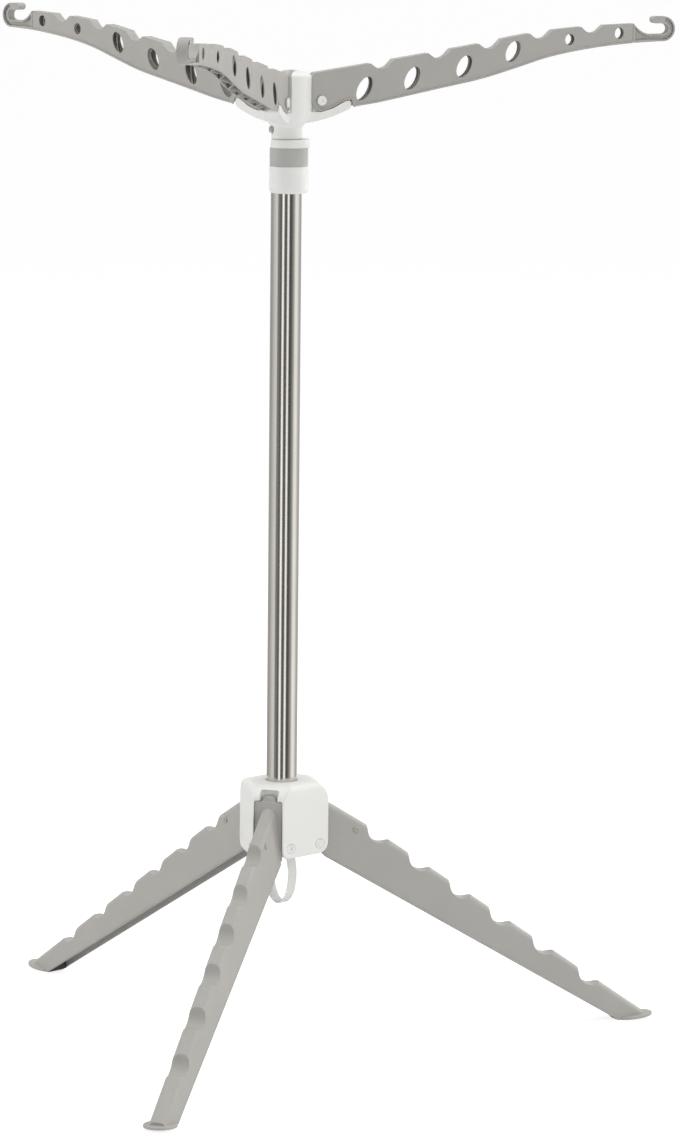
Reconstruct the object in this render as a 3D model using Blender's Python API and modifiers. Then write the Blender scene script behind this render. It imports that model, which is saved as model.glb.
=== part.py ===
"""Tripod clothes drying rack: three fold-down legs, a telescopic steel mast and three fold-up arms.

Metres, +Z up. The origin is on the floor, on the axis of the mast. Arm 1 points along +X.
"""
import math

import bmesh
import bpy
from mathutils import Matrix, Vector

# Counts and turns about the mast
ARM_COUNT = 3
LEG_COUNT = 3
LEG_TURN = math.radians(-3.8)
COLLAR_TURN = math.radians(-15.8)
BUTTON_TURN = math.radians(180.0)
LOOP_TURN = math.radians(-60.8)

# Facets of round pieces
TUBE_SIDES = 36
PIN_SIDES = 16
HOLE_SIDES = 16
SMALL_HOLE_SIDES = 12

# Clearances
SEAT_GAP = 0.0003
RUNNING_GAP = 0.0004
TUBE_GAP = 0.0002
OVERRUN = 0.004
MERGE_REACH = 0.000001
SLIVER_REACH = 0.00001

# Mast tubes
TUBE_RADIUS = 0.016
TUBE_WALL = 0.001
TUBE_SHOWN_LENGTH = 0.6187
TUBE_SEAT_DEPTH = 0.060
TUBE_END_IN_COLLAR = 0.0444
INNER_TUBE_RADIUS = 0.014
INNER_TUBE_WALL = 0.0008
INNER_TUBE_LENGTH = 0.570
PLUG_HEIGHT = 0.020
BUSH_HEIGHT = 0.025
BUSH_FLANGE_HEIGHT = 0.0075

# Legs, measured from the hinge pin and, along the sloping crest, in the crest's own direction
LEG_SLOPE = math.radians(35.1)
LEG_PIN_REACH = 0.0366
LEG_CREST_HEIGHT = 0.0433
LEG_CREST_START = 0.0377
LEG_CREST_LENGTH = 0.3757
LEG_ROOT_RISE = 0.0441
LEG_ROOT_DROP = 0.0158
LEG_RIDGE_WIDTH = 0.0130
LEG_SPLAY = math.radians(8.6)
LEG_FLARE = math.radians(0.35)
LEG_WALL = 0.0020
LEG_ROOF = 0.0032
LEG_RIDGE_ROUND = 0.0058
LEG_RIDGE_ROUND_STEPS = 4
LEG_NOTCH_WIDTH = 0.0306
LEG_NOTCH_DEPTH = 0.0097
LEG_NOTCH_SHOULDER = math.radians(50.0)
LEG_NOTCH_SHARES = (0.0, 0.148, 0.295, 0.440, 0.596, 0.763)

# Root plate, knuckle and latch tongue of a leg
PLATE_REACH = 0.0089
PLATE_THICKNESS = 0.0030
PLATE_WIDTH = 0.0300
PLATE_RISE = 0.0502
PLATE_DROP = 0.0125
KNUCKLE_RADIUS = 0.0090
TONGUE_WIDTH = 0.0160
TONGUE_RADIUS = 0.0040
TONGUE_RISE = 0.0520

# Foot
TOE_HEIGHT = 0.0085
SOLE_LIFT = 0.0004
SOLE_SPAN = 0.0243
SOLE_LENGTH = 0.0450
SOLE_HEEL_SHARE = 0.63
SOLE_WIDTH = 0.0330
SOLE_THICKNESS = 0.0027
SOLE_SIDES = 20
SOLE_TILT = math.radians(5.0)
HEEL_FLAT = 0.0040
PAD_LENGTH = 0.0220
PAD_SHOWN = 0.0008
PAD_CONTACT_LENGTH = 0.0034
PAD_TOP_DROP = 0.0090

# Base hub
HUB_HEIGHT = 0.0770
HUB_PIN_HEIGHT = 0.0108
HUB_CORNER_REACH = 0.0472
HUB_SLOT_WIDTH = 0.0310
HUB_CHEEK_LIP = 0.0012
HUB_TOP_ROUND = 0.0070
HUB_TOP_ROUND_STEPS = 4
HUB_SHOULDER_ROUND = 0.0200
HUB_FOOT_ROUND = 0.0105
HUB_CORE_REACH = 0.0422
HUB_ROOF = 0.0050
WINDOW_WIDTH = 0.0195
WINDOW_REACH = 0.0300
POCKET_RADIUS = 0.0080
POCKET_REACH = 0.0270
POCKET_ROOF = 0.0090
LEG_PIN_RADIUS = 0.0030
LEG_PIN_HEAD_RADIUS = 0.0046
LEG_PIN_INSET = 0.0004
LEG_PIN_SEAT_WIDTH = 0.0370

# Hanging loop under the base hub
LOOP_WIDTH = 0.0350
LOOP_HEIGHT = 0.0660
LOOP_BAND = 0.0125
LOOP_THICKNESS = 0.0014
LOOP_SIDES = 28
LOOP_RECESS_WIDTH = 0.0336
LOOP_RECESS_DEPTH = 0.0130
LOOP_PIN_RADIUS = 0.0015
LOOP_PIN_HEIGHT = 0.0065
LOOP_PIN_GRIP = 0.0030

# Twist collar
COLLAR_HEIGHT = 0.0558
COLLAR_RADIUS = 0.0202
COLLAR_SKIRT_HEIGHT = 0.0280
COLLAR_CORE_RADIUS = 0.0190
COLLAR_ROUND = 0.0030
COLLAR_ECCENTRICITY = 0.0024
RIM_HEIGHT = 0.0088
RIM_RADIUS = 0.0202
RIM_ECCENTRICITY = 0.0038
RIM_ROUND = 0.0015
BAND_THICKNESS = 0.0005
COLLET_SKIRT_HEIGHT = 0.0150
COLLET_SLIT = 0.0020
COLLAR_LIP = 0.0024

# Head hub, measured from the arm pins
HEAD_PIN_REACH = 0.0348
HEAD_PIN_RISE = 0.0392
NECK_RADIUS = 0.0160
NECK_SHOULDER_DROP = 0.0270
FLARE_DROP = 0.0230
FLARE_RADIUS = 0.0190
FLARE_MID_DROP = 0.0185
FLARE_MID_RADIUS = 0.0229
DISC_DROP = 0.0125
PETAL_RADIUS = 0.0255
DOME_EDGE_RISE = 0.0245
DOME_RISE = 0.0317
DOME_STEPS = 6
DOME_FULLNESS_SHARE = 0.62
NECK_ROOF_DROP = 0.0157
LUG_WIDTH = 0.0124
LUG_RADIUS = 0.0082
BRACKET_WIDTH = 0.0171
BRACKET_TIP_REACH = 0.0312
BRACKET_TIP_DROP = 0.0082
BRACKET_BEND_REACH = 0.0110
BRACKET_BEND_DROP = 0.0192
BRACKET_STEPS = 6
ARM_PIN_RADIUS = 0.0025
ARM_PIN_HEAD_RADIUS = 0.0050
ARM_PIN_HEAD_HEIGHT = 0.0016

# Snap button in the neck
BUTTON_DROP = 0.0296
BUTTON_RADIUS = 0.0035
BUTTON_PROUD = 0.0032
BUTTON_STEM = 0.0032
BUTTON_TRAVEL = 0.0020
SPRING_THICKNESS = 0.0006
SPRING_WIDTH = 0.0060
SPRING_LEG = 0.0220

# Arms, measured from the arm pins
ARM_LENGTH = 0.3887
ARM_RISE = 0.0847
ARM_WIDTH = 0.0175
ARM_TIP_WIDTH_SHARE = 0.60
ARM_WALL = 0.0020
ARM_HEEL_RADIUS = 0.0106
ARM_CORNER_RADIUS = 0.0070
ARM_CORNER_STEPS = 4
ARM_END_WALL_RISE = 0.0110
ARM_TOP_SHARES = (
    (-0.027, 0.330), (0.136, 0.445), (0.293, 0.561), (0.440, 0.675),
    (0.582, 0.797), (0.728, 0.876), (0.880, 0.913),
)
ARM_BOTTOM_SHARES = (
    (0.092, -0.077), (0.162, -0.026), (0.321, 0.125), (0.450, 0.248),
    (0.535, 0.361), (0.642, 0.509), (0.751, 0.605), (0.876, 0.671), (0.9665, 0.693),
)
ARM_NOTCH_SHARES = (0.170, 0.331, 0.473, 0.616, 0.762)
ARM_NOTCH_WIDTH = 0.0255
ARM_NOTCH_DEPTH = 0.0074
ARM_NOTCH_SHOULDER = math.radians(42.0)
ARM_CURVE_STEPS = 3
REST_START = 0.0128
REST_LENGTH = 0.0230
REST_DEPTH = 0.0062
REST_DROP = 0.0068
REST_SHARES = ((0.0, 0.0), (0.30, 0.62), (0.57, 1.06), (0.83, 1.24), (0.92, 0.6), (1.0, 0.0))
TIP_SHARES = ((0.02, -0.06), (0.31, 0.55), (0.57, 1.03), (0.78, 1.17), (0.84, 0.5))
HOLE_HEIGHT_SHARES = (0.404, 0.430, 0.460, 0.543, 0.520, 0.554)
HOLE_PLACE_SHARES = (0.1195, 0.253, 0.399, 0.537, 0.698, 0.840)
BIG_HOLE_COUNT = 4
BIG_HOLE_WIDTH = 0.0140
BIG_HOLE_HEIGHT = 0.0268
BIG_HOLE_LEAN = math.radians(27.0)
BIG_HOLE_LOSS_SHARE = 0.045
SMALL_HOLE_WIDTH = 0.0098
SMALL_HOLE_HEIGHT = 0.0118
SMALL_HOLE_LEAN = math.radians(10.0)
RIB_THICKNESS = 0.0014
RIB_SPAN = 0.0330

# Hook at an arm's end
HOOK_RADIUS = 0.0130
HOOK_BORE_RADIUS = 0.0056
HOOK_TIP_LENGTH = 0.0085
HOOK_FLOOR_LENGTH = 0.0190
HOOK_ARC_STEPS = 10
HOOK_SHOULDER_SHARES = ((0.30, 0.14), (0.58, 0.42), (0.80, 0.72))
HOOK_ROOT_SHARE = 0.864

# Colours, roughness and metallic value of each finish
FINISHES = {
    "white_plastic": ((0.70, 0.70, 0.67), 0.38, 0.0),
    "grey_plastic": ((0.37, 0.36, 0.34), 0.42, 0.0),
    "steel": ((0.58, 0.56, 0.53), 0.24, 1.0),
    "strap": ((0.66, 0.64, 0.62), 0.45, 0.0),
    "rubber": ((0.02, 0.02, 0.02), 0.70, 0.0),
}

# Heights worked out from the legs up
LEG_CREST_END = LEG_CREST_START + LEG_CREST_LENGTH
CREST_END_FALL = LEG_CREST_END * math.sin(LEG_SLOPE) - LEG_CREST_HEIGHT * math.cos(LEG_SLOPE)
LEG_PIN_Z = CREST_END_FALL + TOE_HEIGHT
HUB_BOTTOM_Z = LEG_PIN_Z - HUB_PIN_HEIGHT
HUB_TOP_Z = HUB_BOTTOM_Z + HUB_HEIGHT
TUBE_BOTTOM_Z = HUB_TOP_Z - TUBE_SEAT_DEPTH
COLLAR_BOTTOM_Z = HUB_TOP_Z + TUBE_SHOWN_LENGTH
TUBE_TOP_Z = COLLAR_BOTTOM_Z + TUBE_END_IN_COLLAR
COLLAR_TOP_Z = COLLAR_BOTTOM_Z + COLLAR_HEIGHT
NECK_BOTTOM_Z = COLLAR_TOP_Z + SEAT_GAP
ARM_PIN_Z = NECK_BOTTOM_Z + HEAD_PIN_RISE
INNER_TUBE_TOP_Z = ARM_PIN_Z - NECK_ROOF_DROP - SEAT_GAP
INNER_TUBE_BOTTOM_Z = INNER_TUBE_TOP_Z - INNER_TUBE_LENGTH
ARM_SLOT_WIDTH = ARM_WIDTH + RUNNING_GAP + RUNNING_GAP
ARM_FLOOR_DROP = ARM_HEEL_RADIUS + RUNNING_GAP
TUBE_BORE_RADIUS = TUBE_RADIUS - TUBE_WALL
COLLAR_BORE_RADIUS = TUBE_RADIUS + TUBE_GAP
SLEEVE_BORE_RADIUS = INNER_TUBE_RADIUS + SEAT_GAP


def clear_scene():
    """Remove what the scene holds."""
    for obj in list(bpy.data.objects):
        bpy.data.objects.remove(obj, do_unlink=True)


def new_collection(name):
    """Collection linked to the scene."""
    collection = bpy.data.collections.new(name)
    bpy.context.scene.collection.children.link(collection)
    return collection


def finish_material(node, finish):
    """Principled material of one sub-part."""
    colour, roughness, metallic = FINISHES[finish]
    material = bpy.data.materials.new(node + "_" + finish)
    material.use_nodes = True
    shader = material.node_tree.nodes["Principled BSDF"]
    shader.inputs["Base Color"].default_value = (*colour, 1.0)
    shader.inputs["Roughness"].default_value = roughness
    shader.inputs["Metallic"].default_value = metallic
    material.diffuse_color = (*colour, 1.0)
    return material


def smooth_shading(mesh):
    """Smooth faces with sharp edges kept."""
    mesh.shade_smooth()
    mesh.set_sharp_from_angle(angle=math.radians(35.0))


def mesh_object(name, mesh, collection):
    """Object that shows a mesh."""
    obj = bpy.data.objects.new(name, mesh)
    collection.objects.link(obj)
    return obj


def part(name, mesh, finish, location=(0.0, 0.0, 0.0), turn=0.0):
    """Finished sub-part, placed by its location and its turn about Z."""
    obj = mesh_object(name, mesh, PARTS)
    obj.location = location
    obj.rotation_euler.z = turn
    if not mesh.materials:
        mesh.materials.append(None)
    slot = obj.material_slots[0]
    slot.link = "OBJECT"
    slot.material = finish_material(name, finish)
    return obj


def evaluated_mesh(obj, merge=False):
    """Mesh of an object with its modifiers applied."""
    bpy.context.view_layer.update()
    graph = bpy.context.evaluated_depsgraph_get()
    mesh = bpy.data.meshes.new_from_object(obj.evaluated_get(graph))
    if merge:
        shape = bmesh.new()
        shape.from_mesh(mesh)
        bmesh.ops.remove_doubles(shape, verts=shape.verts, dist=MERGE_REACH)
        bmesh.ops.dissolve_limit(
            shape, angle_limit=math.radians(0.5), verts=shape.verts, edges=shape.edges)
        bmesh.ops.recalc_face_normals(shape, faces=shape.faces)
        shape.to_mesh(mesh)
        shape.free()
    return mesh


def discard(obj):
    """Remove an object that only helped to make another."""
    bpy.data.objects.remove(obj, do_unlink=True)


def outline_mesh(name, points, width):
    """Plate of one width across Y, from an outline of (along, up) points."""
    curve = bpy.data.curves.new(name, "CURVE")
    curve.dimensions = "2D"
    curve.fill_mode = "BOTH"
    curve.extrude = 0.5 * width
    spline = curve.splines.new("POLY")
    spline.points.add(len(points) - 1)
    for point, (along, up) in zip(spline.points, points):
        point.co = (along, up, 0.0, 1.0)
    spline.use_cyclic_u = True
    source = mesh_object(name, curve, CUTTERS)
    mesh = evaluated_mesh(source, merge=True)
    discard(source)
    mesh.transform(Matrix.Rotation(math.radians(90.0), 4, "X"))
    return mesh


def plan_mesh(name, points, height):
    """Plate of one height standing on Z zero, from an outline seen from above."""
    mesh = outline_mesh(name, points, height)
    mesh.transform(Matrix.Rotation(math.radians(-90.0), 4, "X"))
    mesh.transform(Matrix.Translation((0.0, 0.0, 0.5 * height)))
    return mesh


def turned_mesh(name, profile, sides=TUBE_SIDES):
    """Solid turned about Z from (radius, height) points that run down its outer side."""
    on_axis = profile[0][0] == 0.0
    count = len(profile)
    edges = [(i, i + 1) for i in range(count - 1)]
    if not on_axis:
        edges.append((count - 1, 0))
    mesh = bpy.data.meshes.new(name)
    mesh.from_pydata([(radius, 0.0, height) for radius, height in profile], edges, [])
    source = mesh_object(name, mesh, CUTTERS)
    screw = source.modifiers.new("Turn", "SCREW")
    screw.steps = sides
    screw.render_steps = sides
    screw.use_merge_vertices = True
    screw.merge_threshold = MERGE_REACH
    result = evaluated_mesh(source)
    discard(source)
    return result


def ring_profile(outer, inner, bottom, top):
    """Outline of a plain ring."""
    return [(outer, top), (outer, bottom), (inner, bottom), (inner, top)]


def disc_profile(radius, bottom, top):
    """Outline of a plain disc or bar."""
    return [(0.0, top), (radius, top), (radius, bottom), (0.0, bottom)]


def box_mesh(name, low, high):
    """Box between two corners."""
    shape = bmesh.new()
    bmesh.ops.create_cube(shape, size=1.0)
    low = Vector(low)
    high = Vector(high)
    bmesh.ops.scale(shape, vec=high - low, verts=shape.verts)
    bmesh.ops.translate(shape, vec=0.5 * (low + high), verts=shape.verts)
    mesh = bpy.data.meshes.new(name)
    shape.to_mesh(mesh)
    shape.free()
    return mesh


def rod_mesh(name, radius, low, high, sides=PIN_SIDES):
    """Round bar along Y between two places."""
    shape = bmesh.new()
    bmesh.ops.create_cone(
        shape, cap_ends=True, segments=sides, radius1=radius, radius2=radius, depth=high - low)
    turn = Matrix.Rotation(math.radians(-90.0), 4, "X")
    bmesh.ops.transform(shape, matrix=turn, verts=shape.verts)
    bmesh.ops.translate(shape, vec=(0.0, 0.5 * (low + high), 0.0), verts=shape.verts)
    mesh = bpy.data.meshes.new(name)
    shape.to_mesh(mesh)
    shape.free()
    return mesh


def seamed(mesh, place, direction):
    """Part a plate along a plane across (along, up), so that its faces can bend there."""
    shape = bmesh.new()
    shape.from_mesh(mesh)
    bmesh.ops.bisect_plane(
        shape, geom=[*shape.verts, *shape.edges, *shape.faces], dist=MERGE_REACH,
        plane_co=(place[0], 0.0, place[1]), plane_no=(direction[0], 0.0, direction[1]))
    bmesh.ops.triangulate(shape, faces=shape.faces)
    shape.to_mesh(mesh)
    shape.free()
    return mesh


def cleaned(mesh):
    """Close up the slivers that cuts leave where surfaces all but touch."""
    shape = bmesh.new()
    shape.from_mesh(mesh)
    bmesh.ops.remove_doubles(shape, verts=shape.verts, dist=SLIVER_REACH)
    bmesh.ops.dissolve_degenerate(shape, edges=shape.edges, dist=SLIVER_REACH)
    shape.to_mesh(mesh)
    shape.free()
    return mesh


def moved(mesh, offset, turn=0.0):
    """Shift a mesh, then turn it about Z."""
    mesh.transform(Matrix.Rotation(turn, 4, "Z") @ Matrix.Translation(offset))
    return mesh


def combined(mesh, others, operation):
    """Boolean of a mesh with others, one after another."""
    target = mesh_object("target", mesh, CUTTERS)
    tools = []
    for index, other in enumerate(others):
        tool = mesh_object("tool_%d" % index, other, CUTTERS)
        tool.hide_render = True
        tool.display_type = "WIRE"
        tools.append(tool)
        step = target.modifiers.new("Step %d" % index, "BOOLEAN")
        step.operation = operation
        step.solver = "EXACT"
        step.object = tool
    result = evaluated_mesh(target)
    discard(target)
    for tool in tools:
        discard(tool)
    return result


def cut(mesh, *others):
    """Take other meshes away."""
    return combined(mesh, others, "DIFFERENCE")


def joined(mesh, *others):
    """Fuse other meshes on."""
    return combined(mesh, others, "UNION")


def arc_points(centre, radius, start, end, steps):
    """Points on an arc, both ends included."""
    points = []
    for step in range(steps + 1):
        angle = start + (end - start) * step / steps
        points.append((centre[0] + radius * math.cos(angle), centre[1] + radius * math.sin(angle)))
    return points


def notch_points(width, depth, shoulder, steps=5):
    """Slanted shoulders and a round bottom, as (along, drop) about the notch's middle."""
    half = 0.5 * width
    rounding = (half * math.tan(shoulder) - depth) / (1.0 / math.cos(shoulder) - 1.0)
    points = [(-half, 0.0)]
    for step in range(steps + 1):
        angle = shoulder * (2.0 * step / steps - 1.0)
        points.append((rounding * math.sin(angle), depth - rounding * (1.0 - math.cos(angle))))
    points.append((half, 0.0))
    return points


def curve_height(shares, place):
    """Height share of a smooth curve through given shares, at one place share."""
    last = len(shares) - 2
    index = 0
    while index < last and place > shares[index + 1][0]:
        index += 1
    before = shares[max(index - 1, 0)]
    start = shares[index]
    end = shares[index + 1]
    after = shares[min(index + 2, last + 1)]
    span = end[0] - start[0]
    t = (place - start[0]) / span
    slope_start = (end[1] - before[1]) / (end[0] - before[0]) * span
    slope_end = (after[1] - start[1]) / (after[0] - start[0]) * span
    return (
        (2 * t ** 3 - 3 * t ** 2 + 1) * start[1] + (t ** 3 - 2 * t ** 2 + t) * slope_start
        + (3 * t ** 2 - 2 * t ** 3) * end[1] + (t ** 3 - t ** 2) * slope_end)


def arm_height(shares, along):
    """Height of an arm's edge above the pin."""
    return ARM_RISE * curve_height(shares, along / ARM_LENGTH)


def arm_top_points(lowering, widening, start, end):
    """Notched top edge of an arm from its hook end back to its root."""
    notch = notch_points(ARM_NOTCH_WIDTH + widening, ARM_NOTCH_DEPTH, ARM_NOTCH_SHOULDER)
    points = []
    reach = end
    for share in reversed(ARM_NOTCH_SHARES):
        middle = share * ARM_LENGTH
        points += plain_top(reach, middle + notch[-1][0], lowering)
        for offset, drop in reversed(notch):
            along = middle + offset
            points.append((along, arm_height(ARM_TOP_SHARES, along) - lowering - drop))
        reach = middle + notch[0][0]
    points += plain_top(reach, start, lowering)
    return points


def plain_top(outer, inner, lowering):
    """Points of a crest between two notches, its ends at the notches left out."""
    points = []
    for step in range(1, ARM_CURVE_STEPS):
        along = outer + (inner - outer) * step / ARM_CURVE_STEPS
        points.append((along, arm_height(ARM_TOP_SHARES, along) - lowering))
    return points


def hook_points():
    """Hook from the arm's underside round to the end of its crest."""
    centre = (ARM_LENGTH - HOOK_RADIUS, ARM_RISE - HOOK_RADIUS)
    tip_radius = 0.5 * (HOOK_RADIUS - HOOK_BORE_RADIUS)
    tip = (centre[0] - HOOK_TIP_LENGTH, centre[1] + HOOK_BORE_RADIUS + tip_radius)
    right = math.radians(90.0)
    floor_end = (centre[0] - HOOK_FLOOR_LENGTH, centre[1] - HOOK_BORE_RADIUS)
    crest = (ARM_TOP_SHARES[-1][0] * ARM_LENGTH, ARM_TOP_SHARES[-1][1] * ARM_RISE)
    points = arc_points(centre, HOOK_RADIUS, -right, right, HOOK_ARC_STEPS)
    points += arc_points(tip, tip_radius, right, 3.0 * right, ARM_CORNER_STEPS)
    points += arc_points(centre, HOOK_BORE_RADIUS, right, -right, HOOK_ARC_STEPS)
    points.append(floor_end)
    for back, up in HOOK_SHOULDER_SHARES:
        points.append((
            floor_end[0] + (crest[0] - floor_end[0]) * back,
            floor_end[1] + (crest[1] - floor_end[1]) * up))
    points.append(crest)
    return points


def arm_outline():
    """Side view of an arm about its pin."""
    left = math.radians(180.0)
    down = math.radians(270.0)
    points = arc_points((0.0, 0.0), ARM_HEEL_RADIUS, left, down, ARM_CORNER_STEPS)
    for along, up in REST_SHARES:
        points.append((REST_START + REST_LENGTH * along, REST_DEPTH * up - REST_DROP))
    low = ARM_BOTTOM_SHARES[0][0] * ARM_LENGTH
    high = ARM_LENGTH - HOOK_RADIUS
    steps = ARM_CURVE_STEPS * len(ARM_BOTTOM_SHARES)
    for step in range(1, steps):
        along = low + (high - low) * step / steps
        points.append((along, arm_height(ARM_BOTTOM_SHARES, along)))
    points += hook_points()
    points += arm_top_points(0.0, 0.0, -ARM_HEEL_RADIUS, ARM_TOP_SHARES[-1][0] * ARM_LENGTH)
    root = arm_height(ARM_TOP_SHARES, -ARM_HEEL_RADIUS + ARM_CORNER_RADIUS) - ARM_CORNER_RADIUS
    corner = (-ARM_HEEL_RADIUS + ARM_CORNER_RADIUS, root)
    points += arc_points(corner, ARM_CORNER_RADIUS, math.radians(90.0), left, ARM_CORNER_STEPS)
    return points


def arm_cavity_outline():
    """Side view of the open space inside an arm."""
    end = HOOK_ROOT_SHARE * ARM_LENGTH
    inner = ARM_WALL - ARM_HEEL_RADIUS
    below = -ARM_HEEL_RADIUS - OVERRUN
    outside = -ARM_HEEL_RADIUS - OVERRUN
    points = [(outside, below), (end, below), (end, arm_height(ARM_TOP_SHARES, end) - ARM_WALL)]
    points += arm_top_points(ARM_WALL, ARM_WALL, inner, end)
    points.append((inner, arm_height(ARM_TOP_SHARES, inner) - ARM_WALL))
    points.append((inner, ARM_END_WALL_RISE))
    points.append((outside, ARM_END_WALL_RISE))
    return points


def narrowed(mesh):
    """Narrow an arm's shape steadily from the pin to the hook."""
    for vertex in mesh.vertices:
        share = min(max(vertex.co.x / ARM_LENGTH, 0.0), 1.0)
        vertex.co.y *= 1.0 + (ARM_TIP_WIDTH_SHARE - 1.0) * share
    return mesh


def hole_size(index):
    """Width, height and lean of one hole of an arm."""
    if index < BIG_HOLE_COUNT:
        share = 1.0 - BIG_HOLE_LOSS_SHARE * index
        return BIG_HOLE_WIDTH, BIG_HOLE_HEIGHT * share, BIG_HOLE_LEAN
    return SMALL_HOLE_WIDTH, SMALL_HOLE_HEIGHT, SMALL_HOLE_LEAN


def hole_mesh(index):
    """Oval bar that cuts one hole through both walls of an arm."""
    along = HOLE_PLACE_SHARES[index] * ARM_LENGTH
    top = arm_height(ARM_TOP_SHARES, along)
    bottom = arm_height(ARM_BOTTOM_SHARES, along)
    up = bottom + (top - bottom) * HOLE_HEIGHT_SHARES[index]
    width, height, lean = hole_size(index)
    sides = HOLE_SIDES if index < BIG_HOLE_COUNT else SMALL_HOLE_SIDES
    mesh = rod_mesh("hole", 0.5 * width, -ARM_WIDTH, ARM_WIDTH, sides)
    mesh.transform(Matrix.Diagonal((1.0, 1.0, height / width, 1.0)))
    mesh.transform(Matrix.Translation((along, 0.0, up)) @ Matrix.Rotation(lean, 4, "Y"))
    return mesh


def arm_ribs():
    """Slanted ribs that stiffen an arm between its holes."""
    ribs = []
    for index, share in enumerate(ARM_NOTCH_SHARES):
        side = 1.0 if index % 2 else -1.0
        length = math.hypot(RIB_SPAN, ARM_WIDTH)
        half = 0.5 * RIB_THICKNESS
        rib = box_mesh("rib", (-length, -half, -ARM_RISE), (length, half, ARM_RISE + ARM_RISE))
        rib.transform(
            Matrix.Translation((share * ARM_LENGTH, 0.0, 0.0))
            @ Matrix.Rotation(side * math.atan2(ARM_WIDTH, RIB_SPAN), 4, "Z"))
        ribs.append(rib)
    return ribs


def arm_mesh():
    """Channel arm with holes, notches, ribs and a hook."""
    pin = (0.0, 0.0)
    outwards = (1.0, 0.0)
    body = seamed(outline_mesh("arm", arm_outline(), ARM_WIDTH), pin, outwards)
    cavity = outline_mesh("cavity", arm_cavity_outline(), ARM_WIDTH - ARM_WALL - ARM_WALL)
    cavity = cut(seamed(cavity, pin, outwards), *arm_ribs())
    holes = [hole_mesh(index) for index in range(len(HOLE_PLACE_SHARES))]
    pin_hole = rod_mesh("pin_hole", ARM_PIN_RADIUS + RUNNING_GAP, -ARM_WIDTH, ARM_WIDTH)
    mesh = narrowed(cleaned(cut(body, cavity, pin_hole, *holes)))
    smooth_shading(mesh)
    return mesh


def leg_point(along, across):
    """Place beside the leg pin of a point given along and square to the crest."""
    return (
        along * math.cos(LEG_SLOPE) + across * math.sin(LEG_SLOPE),
        across * math.cos(LEG_SLOPE) - along * math.sin(LEG_SLOPE))


def leg_roof_points():
    """Underside of a leg's notched crest, from the root outwards."""
    notch = notch_points(LEG_NOTCH_WIDTH + LEG_WALL, LEG_NOTCH_DEPTH, LEG_NOTCH_SHOULDER)
    points = []
    for share in LEG_NOTCH_SHARES:
        middle = LEG_CREST_START + LEG_CREST_LENGTH * share + 0.5 * LEG_NOTCH_WIDTH
        for offset, drop in notch:
            points.append(leg_point(middle + offset, LEG_CREST_HEIGHT - LEG_ROOF - drop))
    return points


def leg_notches():
    """Bars that cut the notches across a leg's crest, their shoulders run on above it."""
    notch = notch_points(LEG_NOTCH_WIDTH, LEG_NOTCH_DEPTH, LEG_NOTCH_SHOULDER)
    mouth = 0.5 * LEG_NOTCH_WIDTH + OVERRUN / math.tan(LEG_NOTCH_SHOULDER)
    notch[0] = (-mouth, -OVERRUN)
    notch[-1] = (mouth, -OVERRUN)
    bars = []
    for share in LEG_NOTCH_SHARES:
        middle = LEG_CREST_START + LEG_CREST_LENGTH * share + 0.5 * LEG_NOTCH_WIDTH
        points = [
            leg_point(middle + offset, LEG_CREST_HEIGHT - drop) for offset, drop in notch]
        bars.append(outline_mesh("notch", points, LEG_RIDGE_WIDTH + OVERRUN))
    return bars


def leg_outline():
    """Side view of a leg about its pin, its crest still plain and its toe too long."""
    root = PLATE_REACH - 0.5 * PLATE_THICKNESS
    heel = leg_point(LEG_CREST_END, LEG_CREST_HEIGHT)[0] - SOLE_SPAN
    sole = SOLE_LIFT - LEG_PIN_Z
    end = leg_point(LEG_CREST_END + SOLE_SPAN, LEG_CREST_HEIGHT)
    return [
        (root, LEG_ROOT_RISE), leg_point(LEG_CREST_START, LEG_CREST_HEIGHT), end,
        (end[0], end[1] - LEG_CREST_HEIGHT), (heel, sole), (heel - HEEL_FLAT, sole),
        (root, -LEG_ROOT_DROP)]


def toe_cutter():
    """Bar that cuts a leg's toe upright and slants its underside."""
    crest_end = leg_point(LEG_CREST_END, LEG_CREST_HEIGHT)
    heel = crest_end[0] - SOLE_SPAN
    sole = SOLE_LIFT - LEG_PIN_Z
    outside = crest_end[0] + SOLE_SPAN + SOLE_SPAN
    above = crest_end[1] + LEG_CREST_HEIGHT
    below = sole - LEG_CREST_HEIGHT - LEG_CREST_HEIGHT
    toe_edge = sole + math.tan(SOLE_TILT) * SOLE_SPAN + 0.5 * SOLE_THICKNESS
    points = [
        (crest_end[0], above), (crest_end[0], toe_edge), (heel, sole), (heel, below),
        (outside, below), (outside, above)]
    return outline_mesh("toe", points, LEG_RIDGE_WIDTH + OVERRUN)


def leg_cavity_outline():
    """Side view of the open space inside a leg."""
    crest_end = leg_point(LEG_CREST_END, LEG_CREST_HEIGHT)
    end = crest_end[0] - SOLE_SPAN
    inside = [point for point in leg_roof_points() if point[0] < end]
    sole = SOLE_LIFT - LEG_PIN_Z
    last = inside[-1]
    points = [(PLATE_REACH, LEG_ROOT_RISE - LEG_WALL - LEG_WALL)]
    points += inside
    points.append((end, last[1] - (end - last[0]) * math.tan(LEG_SLOPE)))
    points.append((end, sole - OVERRUN))
    points.append((PLATE_REACH, -LEG_ROOT_DROP - LEG_ROOT_DROP))
    return points


def leg_frame(point):
    """Distances of a point along a leg's crest and square to it."""
    along = point.x * math.cos(LEG_SLOPE) - point.z * math.sin(LEG_SLOPE)
    across = point.x * math.sin(LEG_SLOPE) + point.z * math.cos(LEG_SLOPE)
    return along, across


def splayed(mesh):
    """Lean a leg's side walls outwards below its crest and towards its foot."""
    for vertex in mesh.vertices:
        along, across = leg_frame(vertex.co)
        spread = max(LEG_CREST_HEIGHT - across, 0.0) * math.tan(LEG_SPLAY)
        spread += max(along - LEG_CREST_START, 0.0) * math.tan(LEG_FLARE)
        vertex.co.y += math.copysign(spread, vertex.co.y)
    return mesh


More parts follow.
